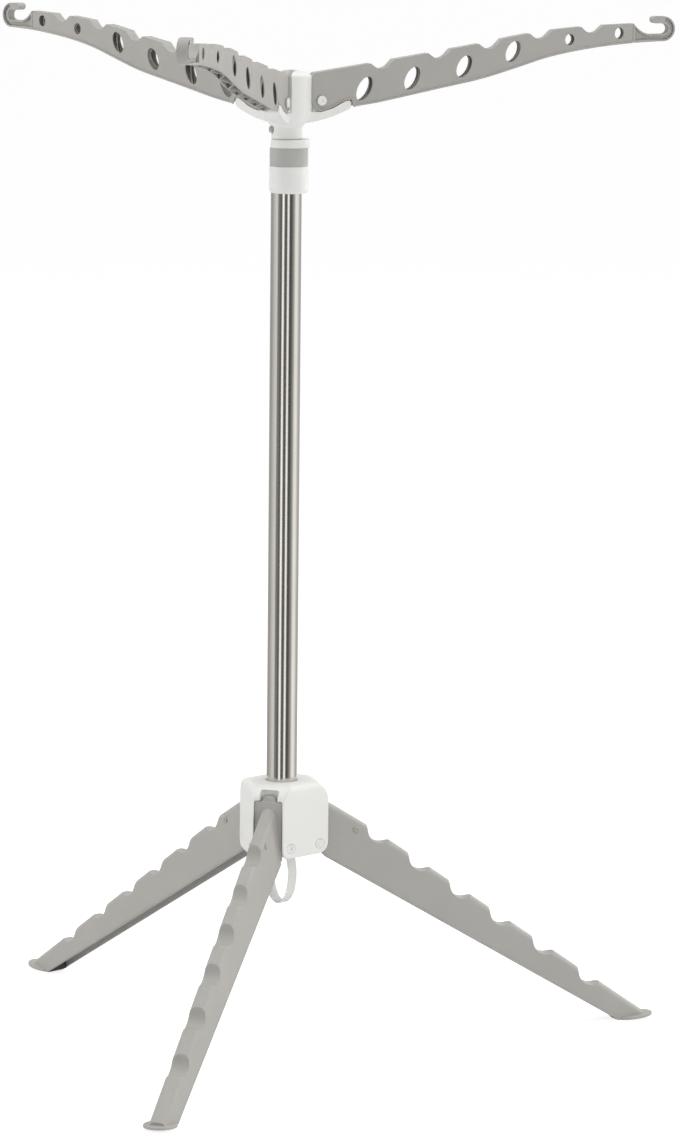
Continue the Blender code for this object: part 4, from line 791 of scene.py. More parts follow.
def leg_mesh():
    """Channel leg with its root plate, knuckle, latch tongue and sole."""
    ridge = 0.5 * LEG_RIDGE_WIDTH
    start = leg_point(LEG_CREST_START, 0.0)
    outwards = (math.cos(LEG_SLOPE), -math.sin(LEG_SLOPE))
    body = seamed(rounded_crest(plate("leg", leg_outline(), -ridge, ridge)), start, outwards)
    inside = ridge - LEG_WALL
    cavity = seamed(plate("cavity", leg_cavity_outline(), -inside, inside), start, outwards)
    lips = [seamed(lip, start, outwards) for lip in leg_lips(ridge)]
    body = fused(cut(body, cavity, toe_cutter(), *leg_notches()), *lips)
    body = splayed(tidied(body))
    half = 0.5 * PLATE_WIDTH
    back = PLATE_REACH - PLATE_THICKNESS
    root_plate = block("root", (back, -half, -PLATE_DROP), (PLATE_REACH, half, PLATE_RISE))
    knuckle = rod("knuckle", KNUCKLE_RADIUS, -half, half)
    arch = 0.5 * TONGUE_WIDTH
    tongue = rod("tongue", arch, -TONGUE_THICKNESS, 0.0)
    tongue.transform(Matrix.Rotation(-RIGHT_ANGLE, 4, "Z"))
    tongue.transform(Matrix.Translation((PLATE_REACH - TONGUE_INSET, 0.0, TONGUE_TOP - arch)))
    pin_hole = rod("pin_hole", LEG_PIN_RADIUS + RUNNING_GAP, -PLATE_WIDTH, PLATE_WIDTH)
    mesh = fused(body, root_plate, knuckle, tongue, sole_mesh())
    mesh = cut(mesh, pin_hole)
    return softened(mesh, FINE_EDGE)


def smooth(mesh, sharpest=math.radians(50.0)):
    """Smooth faces with marked edges kept."""
    mesh.shade_smooth()
    mesh.set_sharp_from_angle(angle=sharpest)
    return mesh


def piece(name, mesh, material, body, replaces=(), weighted=True):
    """Visible piece that rides on a body and may stand for CAD nodes."""
    obj = mesh_object(name, smooth(mesh))
    mesh.materials.clear()
    mesh.materials.append(material)
    if weighted:
        normals = obj.modifiers.new("Even faces", "WEIGHTED_NORMAL")
        normals.keep_sharp = True
        normals.weight = 50
    if replaces:
        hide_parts(*replaces)
    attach(obj, body)
    return obj


def copy_of(node):
    """Copy of a CAD node's mesh."""
    return NODES[node].data.copy()


# Heights of the rest of the rack
HUB_BOTTOM = 0.19998
HUB_TOP = 0.27698
TUBE_BOTTOM = 0.21698
COLLAR_BOTTOM = 0.89568
TUBE_TOP = 0.94008
INNER_TUBE_TOP = 0.97498
INNER_TUBE_BOTTOM = 0.40498

# Head hub, about the height of the arm pins
HEAD_PIN_RISE = 0.0392
NECK_RADIUS = 0.0160
NECK_SHOULDER_DROP = 0.0270
FLARE_DROP = 0.0230
FLARE_RADIUS = 0.0190
FLARE_MID_DROP = 0.0185
FLARE_MID_RADIUS = 0.0229
DISC_DROP = 0.0125
PETAL_RADIUS = 0.0255
DOME_EDGE_RISE = 0.0245
DOME_RISE = 0.0317
DOME_STEPS = 20
DOME_FULLNESS_SHARE = 0.62
NECK_ROOF_DROP = 0.0157
LUG_WIDTH = 0.0112
LUG_RADIUS = 0.0082
BRACKET_TIP_REACH = 0.0312
BRACKET_TIP_DROP = 0.0082
BRACKET_BEND_REACH = 0.0110
BRACKET_BEND_DROP = 0.0192
BRACKET_STEPS = 16
TIP_SHARES = ((0.02, -0.06), (0.31, 0.55), (0.57, 1.03), (0.78, 1.17), (0.84, 0.5))
ARM_SLOT_GAP = 0.0009
ARM_SLOT_WIDTH = ARM_WIDTH + ARM_SLOT_GAP + ARM_SLOT_GAP
ARM_FLOOR_DROP = ARM_HEEL_RADIUS + RUNNING_GAP + RUNNING_GAP
SLEEVE_BORE_RADIUS = INNER_TUBE_RADIUS + SEAT_GAP
BUTTON_DROP = 0.0296
BUTTON_RADIUS = 0.0035
BUTTON_PROUD = 0.0032
BUTTON_STEM = 0.0032
MOULD_GRAIN = 0.00065
MOULD_ROUNDS = 6

# Twist collar
COLLAR_HEIGHT = 0.0558
COLLAR_RADIUS = 0.0202
COLLAR_SKIRT_HEIGHT = 0.0280
COLLAR_CORE_RADIUS = 0.0190
COLLAR_ROUND = 0.0030
COLLAR_ECCENTRICITY = 0.0024
COLLAR_BORE_RADIUS = TUBE_RADIUS + TUBE_GAP
COLLAR_LIP = 0.0024
RIM_HEIGHT = 0.0088
RIM_RADIUS = 0.0202
RIM_ECCENTRICITY = 0.0038
RIM_ROUND = 0.0015
BAND_THICKNESS = 0.0008
BAND_RIDGES = 0.0002

# Leg pins
HUB_CORNER_REACH = 0.0472
HUB_SLOT_WIDTH = 0.0310
HUB_CHEEK_LIP = 0.0012
LEG_PIN_HEAD_RADIUS = 0.0046
LEG_PIN_DIMPLE_RADIUS = 0.0024
LEG_PIN_DIMPLE = 0.0008
LEG_PIN_SEAT_WIDTH = 0.0370
LEG_PIN_INSET = 0.0003

# Window over a leg's latch tongue
WINDOW_WIDTH = 0.0195
WINDOW_BACK = 0.0363
WINDOW_REACH = 0.0300
WINDOW_FLOOR = 0.2538
WINDOW_ROOF = 0.2722

# Hanging loop
LOOP_WIDTH = 0.0350
LOOP_HEIGHT = 0.0660
LOOP_BAND = 0.0125
LOOP_THICKNESS = 0.0014
LOOP_SIDES = 96
LOOP_PIN_RADIUS = 0.0015
LOOP_PIN_HEIGHT = 0.0065


def remoulded(mesh, grain, rounds):
    """One soft-edged skin over a mesh, like a moulding with all its corners eased."""
    target = mesh_object("work", mesh)
    skin = target.modifiers.new("Skin", "REMESH")
    skin.mode = "VOXEL"
    skin.voxel_size = grain
    ease = target.modifiers.new("Ease", "SMOOTH")
    ease.factor = 0.5
    ease.iterations = rounds
    bpy.context.view_layer.update()
    graph = bpy.context.evaluated_depsgraph_get()
    result = bpy.data.meshes.new_from_object(target.evaluated_get(graph))
    discard(target)
    return result


def mast_tube(name, radius, wall, bottom, top):
    """Drawn steel tube with eased ends."""
    inner = radius - wall
    lip = TUBE_LIP
    profile = [
        (radius, bottom + lip), (radius - lip, bottom), (inner + lip, bottom), (inner, bottom + lip),
        (inner, top - lip), (inner + lip, top), (radius - lip, top), (radius, top - lip)]
    return turned(name, profile)


def button_bar(radius, start, end, height):
    """Round bar on the snap button's side of the mast."""
    mesh = rod("button_bar", radius, start, end)
    mesh.transform(Matrix.Rotation(BUTTON_TURN - RIGHT_ANGLE, 4, "Z"))
    mesh.transform(Matrix.Translation((0.0, 0.0, height)))
    return mesh


def head_body():
    """Neck, disc and domed top turned in one piece."""
    profile = [(0.0, DOME_RISE)]
    for step in range(1, DOME_STEPS + 1):
        angle = RIGHT_ANGLE * step / DOME_STEPS
        profile.append((
            PETAL_RADIUS * math.sin(angle) ** DOME_FULLNESS_SHARE,
            DOME_EDGE_RISE + (DOME_RISE - DOME_EDGE_RISE) * math.cos(angle)))
    profile += [
        (PETAL_RADIUS, -DISC_DROP), (FLARE_MID_RADIUS, -FLARE_MID_DROP),
        (FLARE_RADIUS, -FLARE_DROP), (NECK_RADIUS, -NECK_SHOULDER_DROP),
        (NECK_RADIUS, -HEAD_PIN_RISE), (0.0, -HEAD_PIN_RISE)]
    return turned("head", profile)


def bracket():
    """Curved bracket under one arm, with the rest at its tip."""
    floor = -ARM_FLOOR_DROP
    points = [(-ARM_PIN_REACH, floor), (SEAT_GAP, floor)]
    for along, up in TIP_SHARES:
        points.append((REST_START + REST_LENGTH * along, REST_DEPTH * up - REST_DROP - SEAT_GAP))
    tip = Vector((BRACKET_TIP_REACH, -BRACKET_TIP_DROP))
    bend = Vector((BRACKET_BEND_REACH, -BRACKET_BEND_DROP))
    root = Vector((FLARE_RADIUS - ARM_PIN_REACH, -FLARE_DROP))
    for step in range(BRACKET_STEPS + 1):
        share = step / BRACKET_STEPS
        points.append(tuple(tip.lerp(bend, share).lerp(bend.lerp(root, share), share)))
    points.append((-ARM_PIN_REACH, -FLARE_DROP))
    return plate("bracket", points, -0.5 * BRACKET_WIDTH, 0.5 * BRACKET_WIDTH)


def lug():
    """Lug inside an arm's root that carries its pin."""
    points = arc((0.0, 0.0), LUG_RADIUS, math.pi, 0.0, HOLE_SIDES // 2)
    root = -ARM_FLOOR_DROP - SEAT_GAP - SEAT_GAP
    points += [(LUG_RADIUS, root), (-LUG_RADIUS, root)]
    return plate("lug", points, -0.5 * LUG_WIDTH, 0.5 * LUG_WIDTH)


def head_mesh():
    """White head with three arm slots, brackets and lugs, eased all over."""
    additions = []
    slots = []
    bores = []
    half = 0.5 * ARM_SLOT_WIDTH
    high = DOME_RISE + OVERRUN
    reach = PETAL_RADIUS + OVERRUN
    for turn in ARM_TURNS:
        slot = block("slot", (0.0, -half, -ARM_FLOOR_DROP), (reach, half, high))
        slots.append(placed(slot, (0.0, 0.0, 0.0), turn))
        for mesh in (bracket(), lug()):
            additions.append(placed(mesh, (ARM_PIN_REACH, 0.0, 0.0), turn))
        bore = rod("bore", ARM_PIN_RADIUS + SEAT_GAP, -LUG_WIDTH, LUG_WIDTH)
        bores.append(placed(bore, (ARM_PIN_REACH, 0.0, 0.0), turn))
    floor = -HEAD_PIN_RISE - OVERRUN
    tube_bore = turned("tube_bore", [
        (0.0, -NECK_ROOF_DROP), (SLEEVE_BORE_RADIUS, -NECK_ROOF_DROP),
        (SLEEVE_BORE_RADIUS, floor), (0.0, floor)])
    mesh = cut(head_body(), *slots)
    mesh = fused(mesh, *additions)
    button_hole = button_bar(BUTTON_RADIUS + SEAT_GAP, 0.0, NECK_RADIUS + OVERRUN, -BUTTON_DROP)
    mesh = cut(mesh, tube_bore, button_hole, *bores)
    return remoulded(mesh, MOULD_GRAIN, MOULD_ROUNDS)


def collar_mesh():
    """Eccentric twist collar about the top of the outer tube."""
    down = -RIGHT_ANGLE
    corner = (COLLAR_RADIUS - COLLAR_ROUND, COLLAR_ROUND)
    ledge = (COLLAR_RADIUS - 0.5 * RIM_ROUND, COLLAR_SKIRT_HEIGHT - 0.5 * RIM_ROUND)
    skirt_profile = [(0.0, COLLAR_SKIRT_HEIGHT)]
    skirt_profile += arc(ledge, 0.5 * RIM_ROUND, RIGHT_ANGLE, 0.0, EDGE_STEPS + 1)
    skirt_profile += arc(corner, COLLAR_ROUND, 0.0, down, ARM_CORNER_STEPS)
    skirt_profile.append((0.0, 0.0))
    skirt = placed(turned("skirt", skirt_profile), (COLLAR_ECCENTRICITY, 0.0, 0.0))
    rim_floor = COLLAR_HEIGHT - RIM_HEIGHT
    core = turned("core", [
        (0.0, rim_floor + OVERRUN), (COLLAR_CORE_RADIUS, rim_floor + OVERRUN),
        (COLLAR_CORE_RADIUS, COLLAR_SKIRT_HEIGHT - OVERRUN), (0.0, COLLAR_SKIRT_HEIGHT - OVERRUN)])
    placed(core, (COLLAR_ECCENTRICITY, 0.0, 0.0))
    low = (RIM_RADIUS - RIM_ROUND, rim_floor + RIM_ROUND)
    high = (RIM_RADIUS - RIM_ROUND, COLLAR_HEIGHT - RIM_ROUND)
    rim_profile = [(0.0, COLLAR_HEIGHT)]
    rim_profile += arc(high, RIM_ROUND, RIGHT_ANGLE, 0.0, ARM_CORNER_STEPS)
    rim_profile += arc(low, RIM_ROUND, 0.0, down, ARM_CORNER_STEPS)
    rim_profile.append((0.0, rim_floor))
    rim = placed(turned("rim", rim_profile), (RIM_ECCENTRICITY, 0.0, 0.0))
    bore_top = COLLAR_HEIGHT - COLLAR_LIP
    bore = turned("bore", [
        (0.0, bore_top), (COLLAR_BORE_RADIUS, bore_top), (COLLAR_BORE_RADIUS, -OVERRUN),
        (0.0, -OVERRUN)])
    mouth_radius = INNER_TUBE_RADIUS + RUNNING_GAP
    mouth_top = COLLAR_HEIGHT + OVERRUN
    mouth = turned("mouth", [
        (0.0, mouth_top), (mouth_radius, mouth_top), (mouth_radius, 0.0), (0.0, 0.0)])
    return tidied(cut(fused(skirt, core, rim), bore, mouth))


def band_mesh():
    """Soft grip band in the collar's groove, crowned a little."""
    inner = COLLAR_CORE_RADIUS + 0.5 * SEAT_GAP
    outer = COLLAR_CORE_RADIUS + BAND_THICKNESS
    bottom = COLLAR_SKIRT_HEIGHT + 0.5 * SEAT_GAP
    top = COLLAR_HEIGHT - RIM_HEIGHT - 0.5 * SEAT_GAP
    edge = 0.5 * BAND_THICKNESS
    profile = [
        (outer - edge, top), (outer, top - edge), (outer + BAND_RIDGES, 0.5 * (top + bottom)),
        (outer, bottom + edge), (outer - edge, bottom), (inner, bottom), (inner, top)]
    return placed(turned("band", profile), (COLLAR_ECCENTRICITY, 0.0, 0.0))


def arm_pin_mesh():
    """Pin across an arm's root, a shallow domed head with a dimple at each end."""
    half = 0.5 * ARM_WIDTH + SEAT_GAP
    outer = half + ARM_PIN_HEAD_HEIGHT
    radius = ARM_PIN_HEAD_RADIUS
    edge = 0.5 * ARM_PIN_HEAD_HEIGHT
    head = [(0.0, outer - edge), (0.26 * radius, outer - edge), (0.38 * radius, outer - 0.3 * edge)]
    head += [(0.55 * radius, outer), (0.80 * radius, outer - 0.15 * edge)]
    head += arc((radius - edge, outer - edge), edge, math.radians(60.0), 0.0, ARM_CORNER_STEPS // 2)
    head += [(radius, half), (ARM_PIN_RADIUS, half)]
    profile = head + [(along, -out) for along, out in reversed(head)]
    mesh = turned("arm_pin", profile, HOLE_SIDES)
    mesh.transform(Matrix.Rotation(-RIGHT_ANGLE, 4, "X"))
    return mesh


def leg_pin_mesh():
    """Leg pin whose two dished heads end flush with the hub's faces."""
    seat = 0.5 * LEG_PIN_SEAT_WIDTH + SEAT_GAP
    reach = HUB_CORNER_REACH
    end = [
        (0.0, reach), (LEG_PIN_HEAD_RADIUS, reach), (LEG_PIN_HEAD_RADIUS, seat),
        (LEG_PIN_RADIUS, seat)]
    mesh = turned("leg_pin", end + [(along, -out) for along, out in reversed(end)], HOLE_SIDES)
    mesh.transform(Matrix.Rotation(-RIGHT_ANGLE, 4, "X"))
    half = 0.5 * HUB_SLOT_WIDTH + HUB_CHEEK_LIP
    face = math.pi / 3.0
    distance = HUB_CORNER_REACH * math.cos(face) + half * math.sin(face) - LEG_PIN_INSET
    planes = []
    for side in (-face, face):
        beyond = block("face", (distance, -reach, -reach), (distance + reach, reach, reach))
        beyond = placed(beyond, (0.0, 0.0, 0.0), side)
        planes.append(placed(beyond, (-LEG_PIN_REACH, 0.0, 0.0)))
    dimples = []
    for side in (-1.0, 1.0):
        out = (distance - LEG_PIN_REACH * math.cos(face)) / math.sin(face)
        dish = rod("dish", LEG_PIN_DIMPLE_RADIUS, out - LEG_PIN_DIMPLE, out + reach)
        if side < 0.0:
            dish.transform(Matrix.Rotation(math.pi, 4, "Z"))
        dimples.append(dish)
    return softened(cut(mesh, *planes, *dimples), 0.5 * SEAT_GAP)


def loop_mesh():
    """Oval strap ring, taller than wide, about the point where it hangs."""
    middle = LOOP_PIN_RADIUS + SEAT_GAP + LOOP_THICKNESS - 0.5 * LOOP_HEIGHT
    rings = []
    for inset in (0.0, LOOP_THICKNESS):
        points = []
        for step in range(LOOP_SIDES):
            angle = math.tau * step / LOOP_SIDES
            points.append((
                (0.5 * LOOP_WIDTH - inset) * math.cos(angle),
                middle + (0.5 * LOOP_HEIGHT - inset) * math.sin(angle)))
        rings.append(points)
    half = 0.5 * LOOP_BAND
    outer = plate("loop", rings[0], -half, half)
    inner = plate("loop_hole", rings[1], -half - OVERRUN, half + OVERRUN)
    return softened(cut(outer, inner), 0.3 * LOOP_THICKNESS)


def button_mesh():
    """Round snap button with a softly domed end, about the mast's axis."""
    outer = NECK_RADIUS + BUTTON_PROUD
    inner = INNER_TUBE_RADIUS - INNER_TUBE_WALL - BUTTON_STEM
    depth = 0.5 * BUTTON_RADIUS
    profile = [(0.0, outer)]
    for step in range(1, ARM_CORNER_STEPS + 1):
        angle = RIGHT_ANGLE * step / ARM_CORNER_STEPS
        profile.append((BUTTON_RADIUS * math.sin(angle), outer - depth * (1.0 - math.cos(angle))))
    profile += [(BUTTON_RADIUS, inner), (0.0, inner)]
    mesh = turned("button", profile, HOLE_SIDES)
    mesh.transform(Matrix.Rotation(RIGHT_ANGLE, 4, "Y"))
    return mesh


def boss_mesh():
    """Small dimpled boss that the mould leaves on each flank of a leg."""
    radius = BOSS_RADIUS
    high = 0.42 * radius
    profile = [
        (0.0, high - 0.5 * high), (0.30 * radius, high - 0.5 * high), (0.45 * radius, high),
        (0.80 * radius, high), (radius, 0.4 * high), (radius, -radius), (0.0, -radius)]
    mesh = turned("boss", profile, HOLE_SIDES)
    mesh.transform(Matrix.Rotation(-RIGHT_ANGLE, 4, "X"))
    return mesh


class Finish:
    """Node-based finish of one kind of material."""

    def __init__(self, name):
        self.material = bpy.data.materials.new(name)
        self.material.use_nodes = True
        self.tree = self.material.node_tree
        self.shader = self.tree.nodes["Principled BSDF"]
        self.place = self.node("ShaderNodeTexCoord").outputs["Object"]

    def node(self, kind, **settings):
        """New node with its settings."""
        made = self.tree.nodes.new(kind)
        for key, value in settings.items():
            setattr(made, key, value)
        return made

    def join(self, out, into):
        """Link from one socket to another."""
        self.tree.links.new(out, into)

    def set(self, **values):
        """Plain values on the shader's own sockets."""
        for key, value in values.items():
            self.shader.inputs[key.replace("_", " ")].default_value = value

    def noise(self, scale, detail=3.0, rough=0.55, stretch=(1.0, 1.0, 1.0), distortion=0.0):
        """Noise over the object's own coordinates, 0 to 1."""
        mapping = self.node("ShaderNodeMapping")
        mapping.inputs["Scale"].default_value = stretch
        self.join(self.place, mapping.inputs["Vector"])
        texture = self.node("ShaderNodeTexNoise")
        texture.inputs["Scale"].default_value = scale
        texture.inputs["Detail"].default_value = detail
        texture.inputs["Roughness"].default_value = rough
        texture.inputs["Distortion"].default_value = distortion
        self.join(mapping.outputs["Vector"], texture.inputs["Vector"])
        return texture.outputs["Fac"]

    def spread(self, source, low, high, from_low=0.3, from_high=0.7):
        """Range of one value mapped on another."""
        made = self.node("ShaderNodeMapRange")
        made.inputs["From Min"].default_value = from_low
        made.inputs["From Max"].default_value = from_high
        made.inputs["To Min"].default_value = low
        made.inputs["To Max"].default_value = high
        self.join(source, made.inputs["Value"])
        return made.outputs["Result"]

    def blend(self, source, first, second):
        """Two colours mixed by a value."""
        made = self.node("ShaderNodeMix", data_type="RGBA")
        made.inputs["A"].default_value = (*first, 1.0)
        made.inputs["B"].default_value = (*second, 1.0)
        self.join(source, made.inputs["Factor"])
        return made.outputs["Result"]

    def bump(self, layers):
        """Stack of (height source, strength, distance) bumps on the shader's normal."""
        normal = None
        for source, strength, distance in layers:
            made = self.node("ShaderNodeBump")
            made.inputs["Strength"].default_value = strength
            made.inputs["Distance"].default_value = distance
            self.join(source, made.inputs["Height"])
            if normal is not None:
                self.join(normal, made.inputs["Normal"])
            normal = made.outputs["Normal"]
        self.join(normal, self.shader.inputs["Normal"])


def moulded_finish(name, colour, shade, roughness, grain, depth):
    """Moulded plastic: a fine spark-eroded grain, faint flow clouds and uneven sheen."""
    finish = Finish(name)
    clouds = finish.noise(18.0, 4.0, 0.6)
    finish.join(
        finish.blend(finish.spread(clouds, 0.0, 1.0), shade, colour),
        finish.shader.inputs["Base Color"])
    patches = finish.noise(55.0, 3.0, 0.5)
    finish.join(
        finish.spread(patches, roughness - 0.05, roughness + 0.05),
        finish.shader.inputs["Roughness"])
    fine = finish.noise(grain, 2.0, 0.7)
    waves = finish.noise(30.0, 1.0, 0.4)
    finish.bump([(waves, 0.10, 0.0004), (fine, depth, 0.00012)])
    finish.set(IOR=1.49)
    return finish.material


def steel_finish(name):
    """Polished drawn steel with fine lines along the tube."""
    finish = Finish(name)
    lines = finish.noise(900.0, 3.0, 0.65, stretch=(1.0, 1.0, 0.004))
    smears = finish.noise(26.0, 4.0, 0.6, stretch=(1.0, 1.0, 0.35))
    finish.join(
        finish.blend(finish.spread(smears, 0.0, 1.0), (0.60, 0.585, 0.56), (0.66, 0.645, 0.62)),
        finish.shader.inputs["Base Color"])
    finish.join(
        finish.spread(lines, 0.10, 0.17), finish.shader.inputs["Roughness"])
    finish.bump([(lines, 0.06, 0.00004)])
    finish.set(Metallic=1.0)
    return finish.material


def strap_finish(name):
    """Milky soft plastic strap."""
    finish = Finish(name)
    clouds = finish.noise(60.0, 4.0, 0.6)
    finish.join(
        finish.blend(finish.spread(clouds, 0.0, 1.0), (0.80, 0.785, 0.77), (0.87, 0.86, 0.85)),
        finish.shader.inputs["Base Color"])
    finish.join(
        finish.spread(clouds, 0.34, 0.46), finish.shader.inputs["Roughness"])
    finish.bump([(finish.noise(900.0, 2.0, 0.6), 0.08, 0.0001)])
    finish.set(Transmission_Weight=0.42, IOR=1.46)
    return finish.material


def rubber_finish(name):
    """Dull black rubber."""
    finish = Finish(name)
    dust = finish.noise(120.0, 5.0, 0.7)
    finish.join(
        finish.blend(finish.spread(dust, 0.0, 1.0), (0.018, 0.018, 0.018), (0.05, 0.048, 0.046)),
        finish.shader.inputs["Base Color"])
    finish.join(finish.spread(dust, 0.62, 0.82), finish.shader.inputs["Roughness"])
    finish.bump([(finish.noise(1500.0, 3.0, 0.7), 0.25, 0.0002)])
    return finish.material


WHITE = moulded_finish(
    "white_moulding", (0.765, 0.765, 0.745), (0.745, 0.745, 0.725), 0.36, 1300.0, 0.07)
GREY = moulded_finish(
    "grey_moulding", (0.395, 0.382, 0.360), (0.375, 0.362, 0.340), 0.42, 1700.0, 0.16)
BAND = moulded_finish(
    "band_grip", (0.445, 0.445, 0.425), (0.395, 0.396, 0.380), 0.50, 1500.0, 0.20)
BUTTON = moulded_finish(
    "button_plastic", (0.42, 0.41, 0.39), (0.38, 0.37, 0.35), 0.32, 1500.0, 0.06)
STEEL = steel_finish("drawn_steel")
STRAP = strap_finish("strap_plastic")
RUBBER = rubber_finish("pad_rubber")


def dress_legs():
    """Legs with their bosses, each riding on its own body."""
    leg = leg_mesh()
    boss = boss_mesh()
    pad = foot_pad_mesh()
    for index, turn in enumerate(LEG_TURNS):
        body = "leg_%d" % (index + 1)
        offset = (LEG_PIN_REACH, 0.0, LEG_PIN_HEIGHT)
        piece(body + "_moulding", placed(leg.copy(), offset, turn), GREY, body, [body])
        node = "foot_pad_%d" % (index + 1)
        mesh = placed(pad.copy(), offset, turn)
        piece(node + "_block", mesh, RUBBER, body, [node])
        across = LEG_CREST_HEIGHT - leg_frame(Vector((BOSS_REACH, 0.0, BOSS_RISE)))[1]
        flank = 0.5 * LEG_RIDGE_WIDTH + across * math.tan(LEG_SPLAY)
        for side in (-1.0, 1.0):
            mark = boss.copy()
            mark.transform(Matrix.Rotation(LEG_SPLAY, 4, "X"))
            mark.transform(Matrix.Translation((0.0, flank, 0.0)))
            if side < 0.0:
                mark.transform(Matrix.Rotation(math.pi, 4, "Z"))
            mark.transform(Matrix.Translation((BOSS_REACH, 0.0, BOSS_RISE)))
            name = "%s_boss_%s" % (body, "left" if side > 0.0 else "right")
            piece(name, placed(mark, offset, turn), GREY, body)


def dress_arms():
    """Arms and their pins."""
    arm = arm_mesh()
    pin = arm_pin_mesh()
    for index, turn in enumerate(ARM_TURNS):
        body = "arm_%d" % (index + 1)
        offset = (ARM_PIN_REACH, 0.0, ARM_PIN_HEIGHT)
        mesh = placed(arm.copy(), offset, turn)
        piece(body + "_moulding", mesh, GREY, body, [body])
        node = "arm_pin_%d" % (index + 1)
        mesh = placed(pin.copy(), offset, turn)
        piece(node + "_moulding", mesh, WHITE, "head", [node])


def dress_mast():
    """Tubes, collar, grip band and snap button."""
    tube = mast_tube("outer_tube", TUBE_RADIUS, TUBE_WALL, TUBE_BOTTOM, TUBE_TOP)
    piece("outer_tube_drawn", tube, STEEL, "base", ["outer_tube"])
    tube = mast_tube(
        "inner_tube", INNER_TUBE_RADIUS, INNER_TUBE_WALL, INNER_TUBE_BOTTOM, INNER_TUBE_TOP)
    height = ARM_PIN_HEIGHT - BUTTON_DROP
    tube = cut(tube, button_bar(BUTTON_RADIUS + SEAT_GAP, 0.0, NECK_RADIUS + OVERRUN, height))
    piece("inner_tube_drawn", tube, STEEL, "head", ["inner_tube"])
    place = (0.0, 0.0, COLLAR_BOTTOM)
    collar = placed(placed(collar_mesh(), place), (0.0, 0.0, 0.0), COLLAR_TURN)
    piece(
        "twist_collar_moulding", collar, WHITE, "collar",
        ["twist_collar"])
    band = placed(placed(band_mesh(), place), (0.0, 0.0, 0.0), COLLAR_TURN)
    piece("collar_band_grip", band, BAND, "collar", ["collar_band"])
    button = placed(button_mesh(), (0.0, 0.0, 0.0), BUTTON_TURN)
    button = placed(button, (0.0, 0.0, height))
    piece(
        "snap_button_moulding", button, BUTTON, "button",
        ["snap_button"])


def dress_head():
    """Head hub."""
    head = placed(head_mesh(), (0.0, 0.0, ARM_PIN_HEIGHT))
    piece("head_hub_moulding", head, WHITE, "head", ["head_hub"])


def dress_base():
    """Base hub, leg pins and hanging loop."""
    backs = []
    half = 0.5 * WINDOW_WIDTH + SEAT_GAP
    for turn in LEG_TURNS:
        back = block(
            "back", (WINDOW_REACH - SEAT_GAP, -half, WINDOW_FLOOR), (WINDOW_BACK, half, WINDOW_ROOF))
        backs.append(placed(back, (0.0, 0.0, 0.0), turn))
    hub = remoulded(fused(copy_of("base_hub"), *backs), 0.0009, 4)
    piece("base_hub_moulding", hub, WHITE, "base", ["base_hub"])
    pin = leg_pin_mesh()
    for index, turn in enumerate(LEG_TURNS):
        node = "leg_pin_%d" % (index + 1)
        mesh = placed(pin.copy(), (LEG_PIN_REACH, 0.0, LEG_PIN_HEIGHT), turn)
        piece(node + "_moulding", mesh, WHITE, "base", [node])
    loop = placed(loop_mesh(), (0.0, 0.0, 0.0), LOOP_TURN)
    loop = placed(loop, (0.0, 0.0, HUB_BOTTOM + LOOP_PIN_HEIGHT))
    piece("hang_loop_strap", loop, STRAP, "loop", ["hang_loop"])


def finish_nodes():
    """Finishes of the CAD nodes that stay in view."""
    finishes = {
        "tube_plug": WHITE, "guide_bush": GREY, "clamp_collet": WHITE, "button_spring": STEEL,
        "loop_pin": STEEL}
    for node, finish in finishes.items():
        for slot in NODES[node].material_slots:
            slot.material = finish


# Camera, solved from the photograph's own perspective
CAMERA_TURN = math.radians(-16.295)
CAMERA_DISTANCE = 5.1046
CAMERA_HEIGHT = 1.3254
CAMERA_YAW = math.radians(0.661)
CAMERA_PITCH = math.radians(9.188)
CAMERA_ROLL = math.radians(0.564)
SENSOR = 36.0
LENS = SENSOR * 4.32199


def add_camera():
    """Camera where the photograph was taken from."""
    camera = bpy.data.cameras.new("camera")
    camera.sensor_width = SENSOR
    camera.lens = LENS
    camera.clip_end = 200.0
    obj = bpy.data.objects.new("camera", camera)
    bpy.context.scene.collection.objects.link(obj)
    forward = Vector((
        math.sin(CAMERA_YAW) * math.cos(CAMERA_PITCH),
        math.cos(CAMERA_YAW) * math.cos(CAMERA_PITCH), -math.sin(CAMERA_PITCH)))
    level = Vector((math.cos(CAMERA_YAW), -math.sin(CAMERA_YAW), 0.0))
    upright = level.cross(forward)
    right = math.cos(CAMERA_ROLL) * level + math.sin(CAMERA_ROLL) * upright
    up = -math.sin(CAMERA_ROLL) * level + math.cos(CAMERA_ROLL) * upright
    axes = Matrix((right, up, -forward)).transposed().to_4x4()
    obj.matrix_world = (
        Matrix.Rotation(CAMERA_TURN, 4, "Z")
        @ Matrix.Translation((0.0, -CAMERA_DISTANCE, CAMERA_HEIGHT)) @ axes)
    bpy.context.scene.camera = obj


def add_lamp(name, place, aim, size, power, colour=(1.0, 1.0, 1.0), seen=False):
    """Square soft lamp aimed at a point; places are turned with the camera."""
    light = bpy.data.lights.new(name, "AREA")
    light.shape = "SQUARE"
    light.size = size
    light.energy = power
    light.color = colour
    obj = bpy.data.objects.new(name, light)
    bpy.context.scene.collection.objects.link(obj)
    turn = Matrix.Rotation(CAMERA_TURN, 4, "Z")
    obj.location = turn @ Vector(place)
    obj.rotation_euler = (turn @ Vector(aim) - obj.location).to_track_quat("-Z", "Y").to_euler()
    obj.visible_glossy = seen


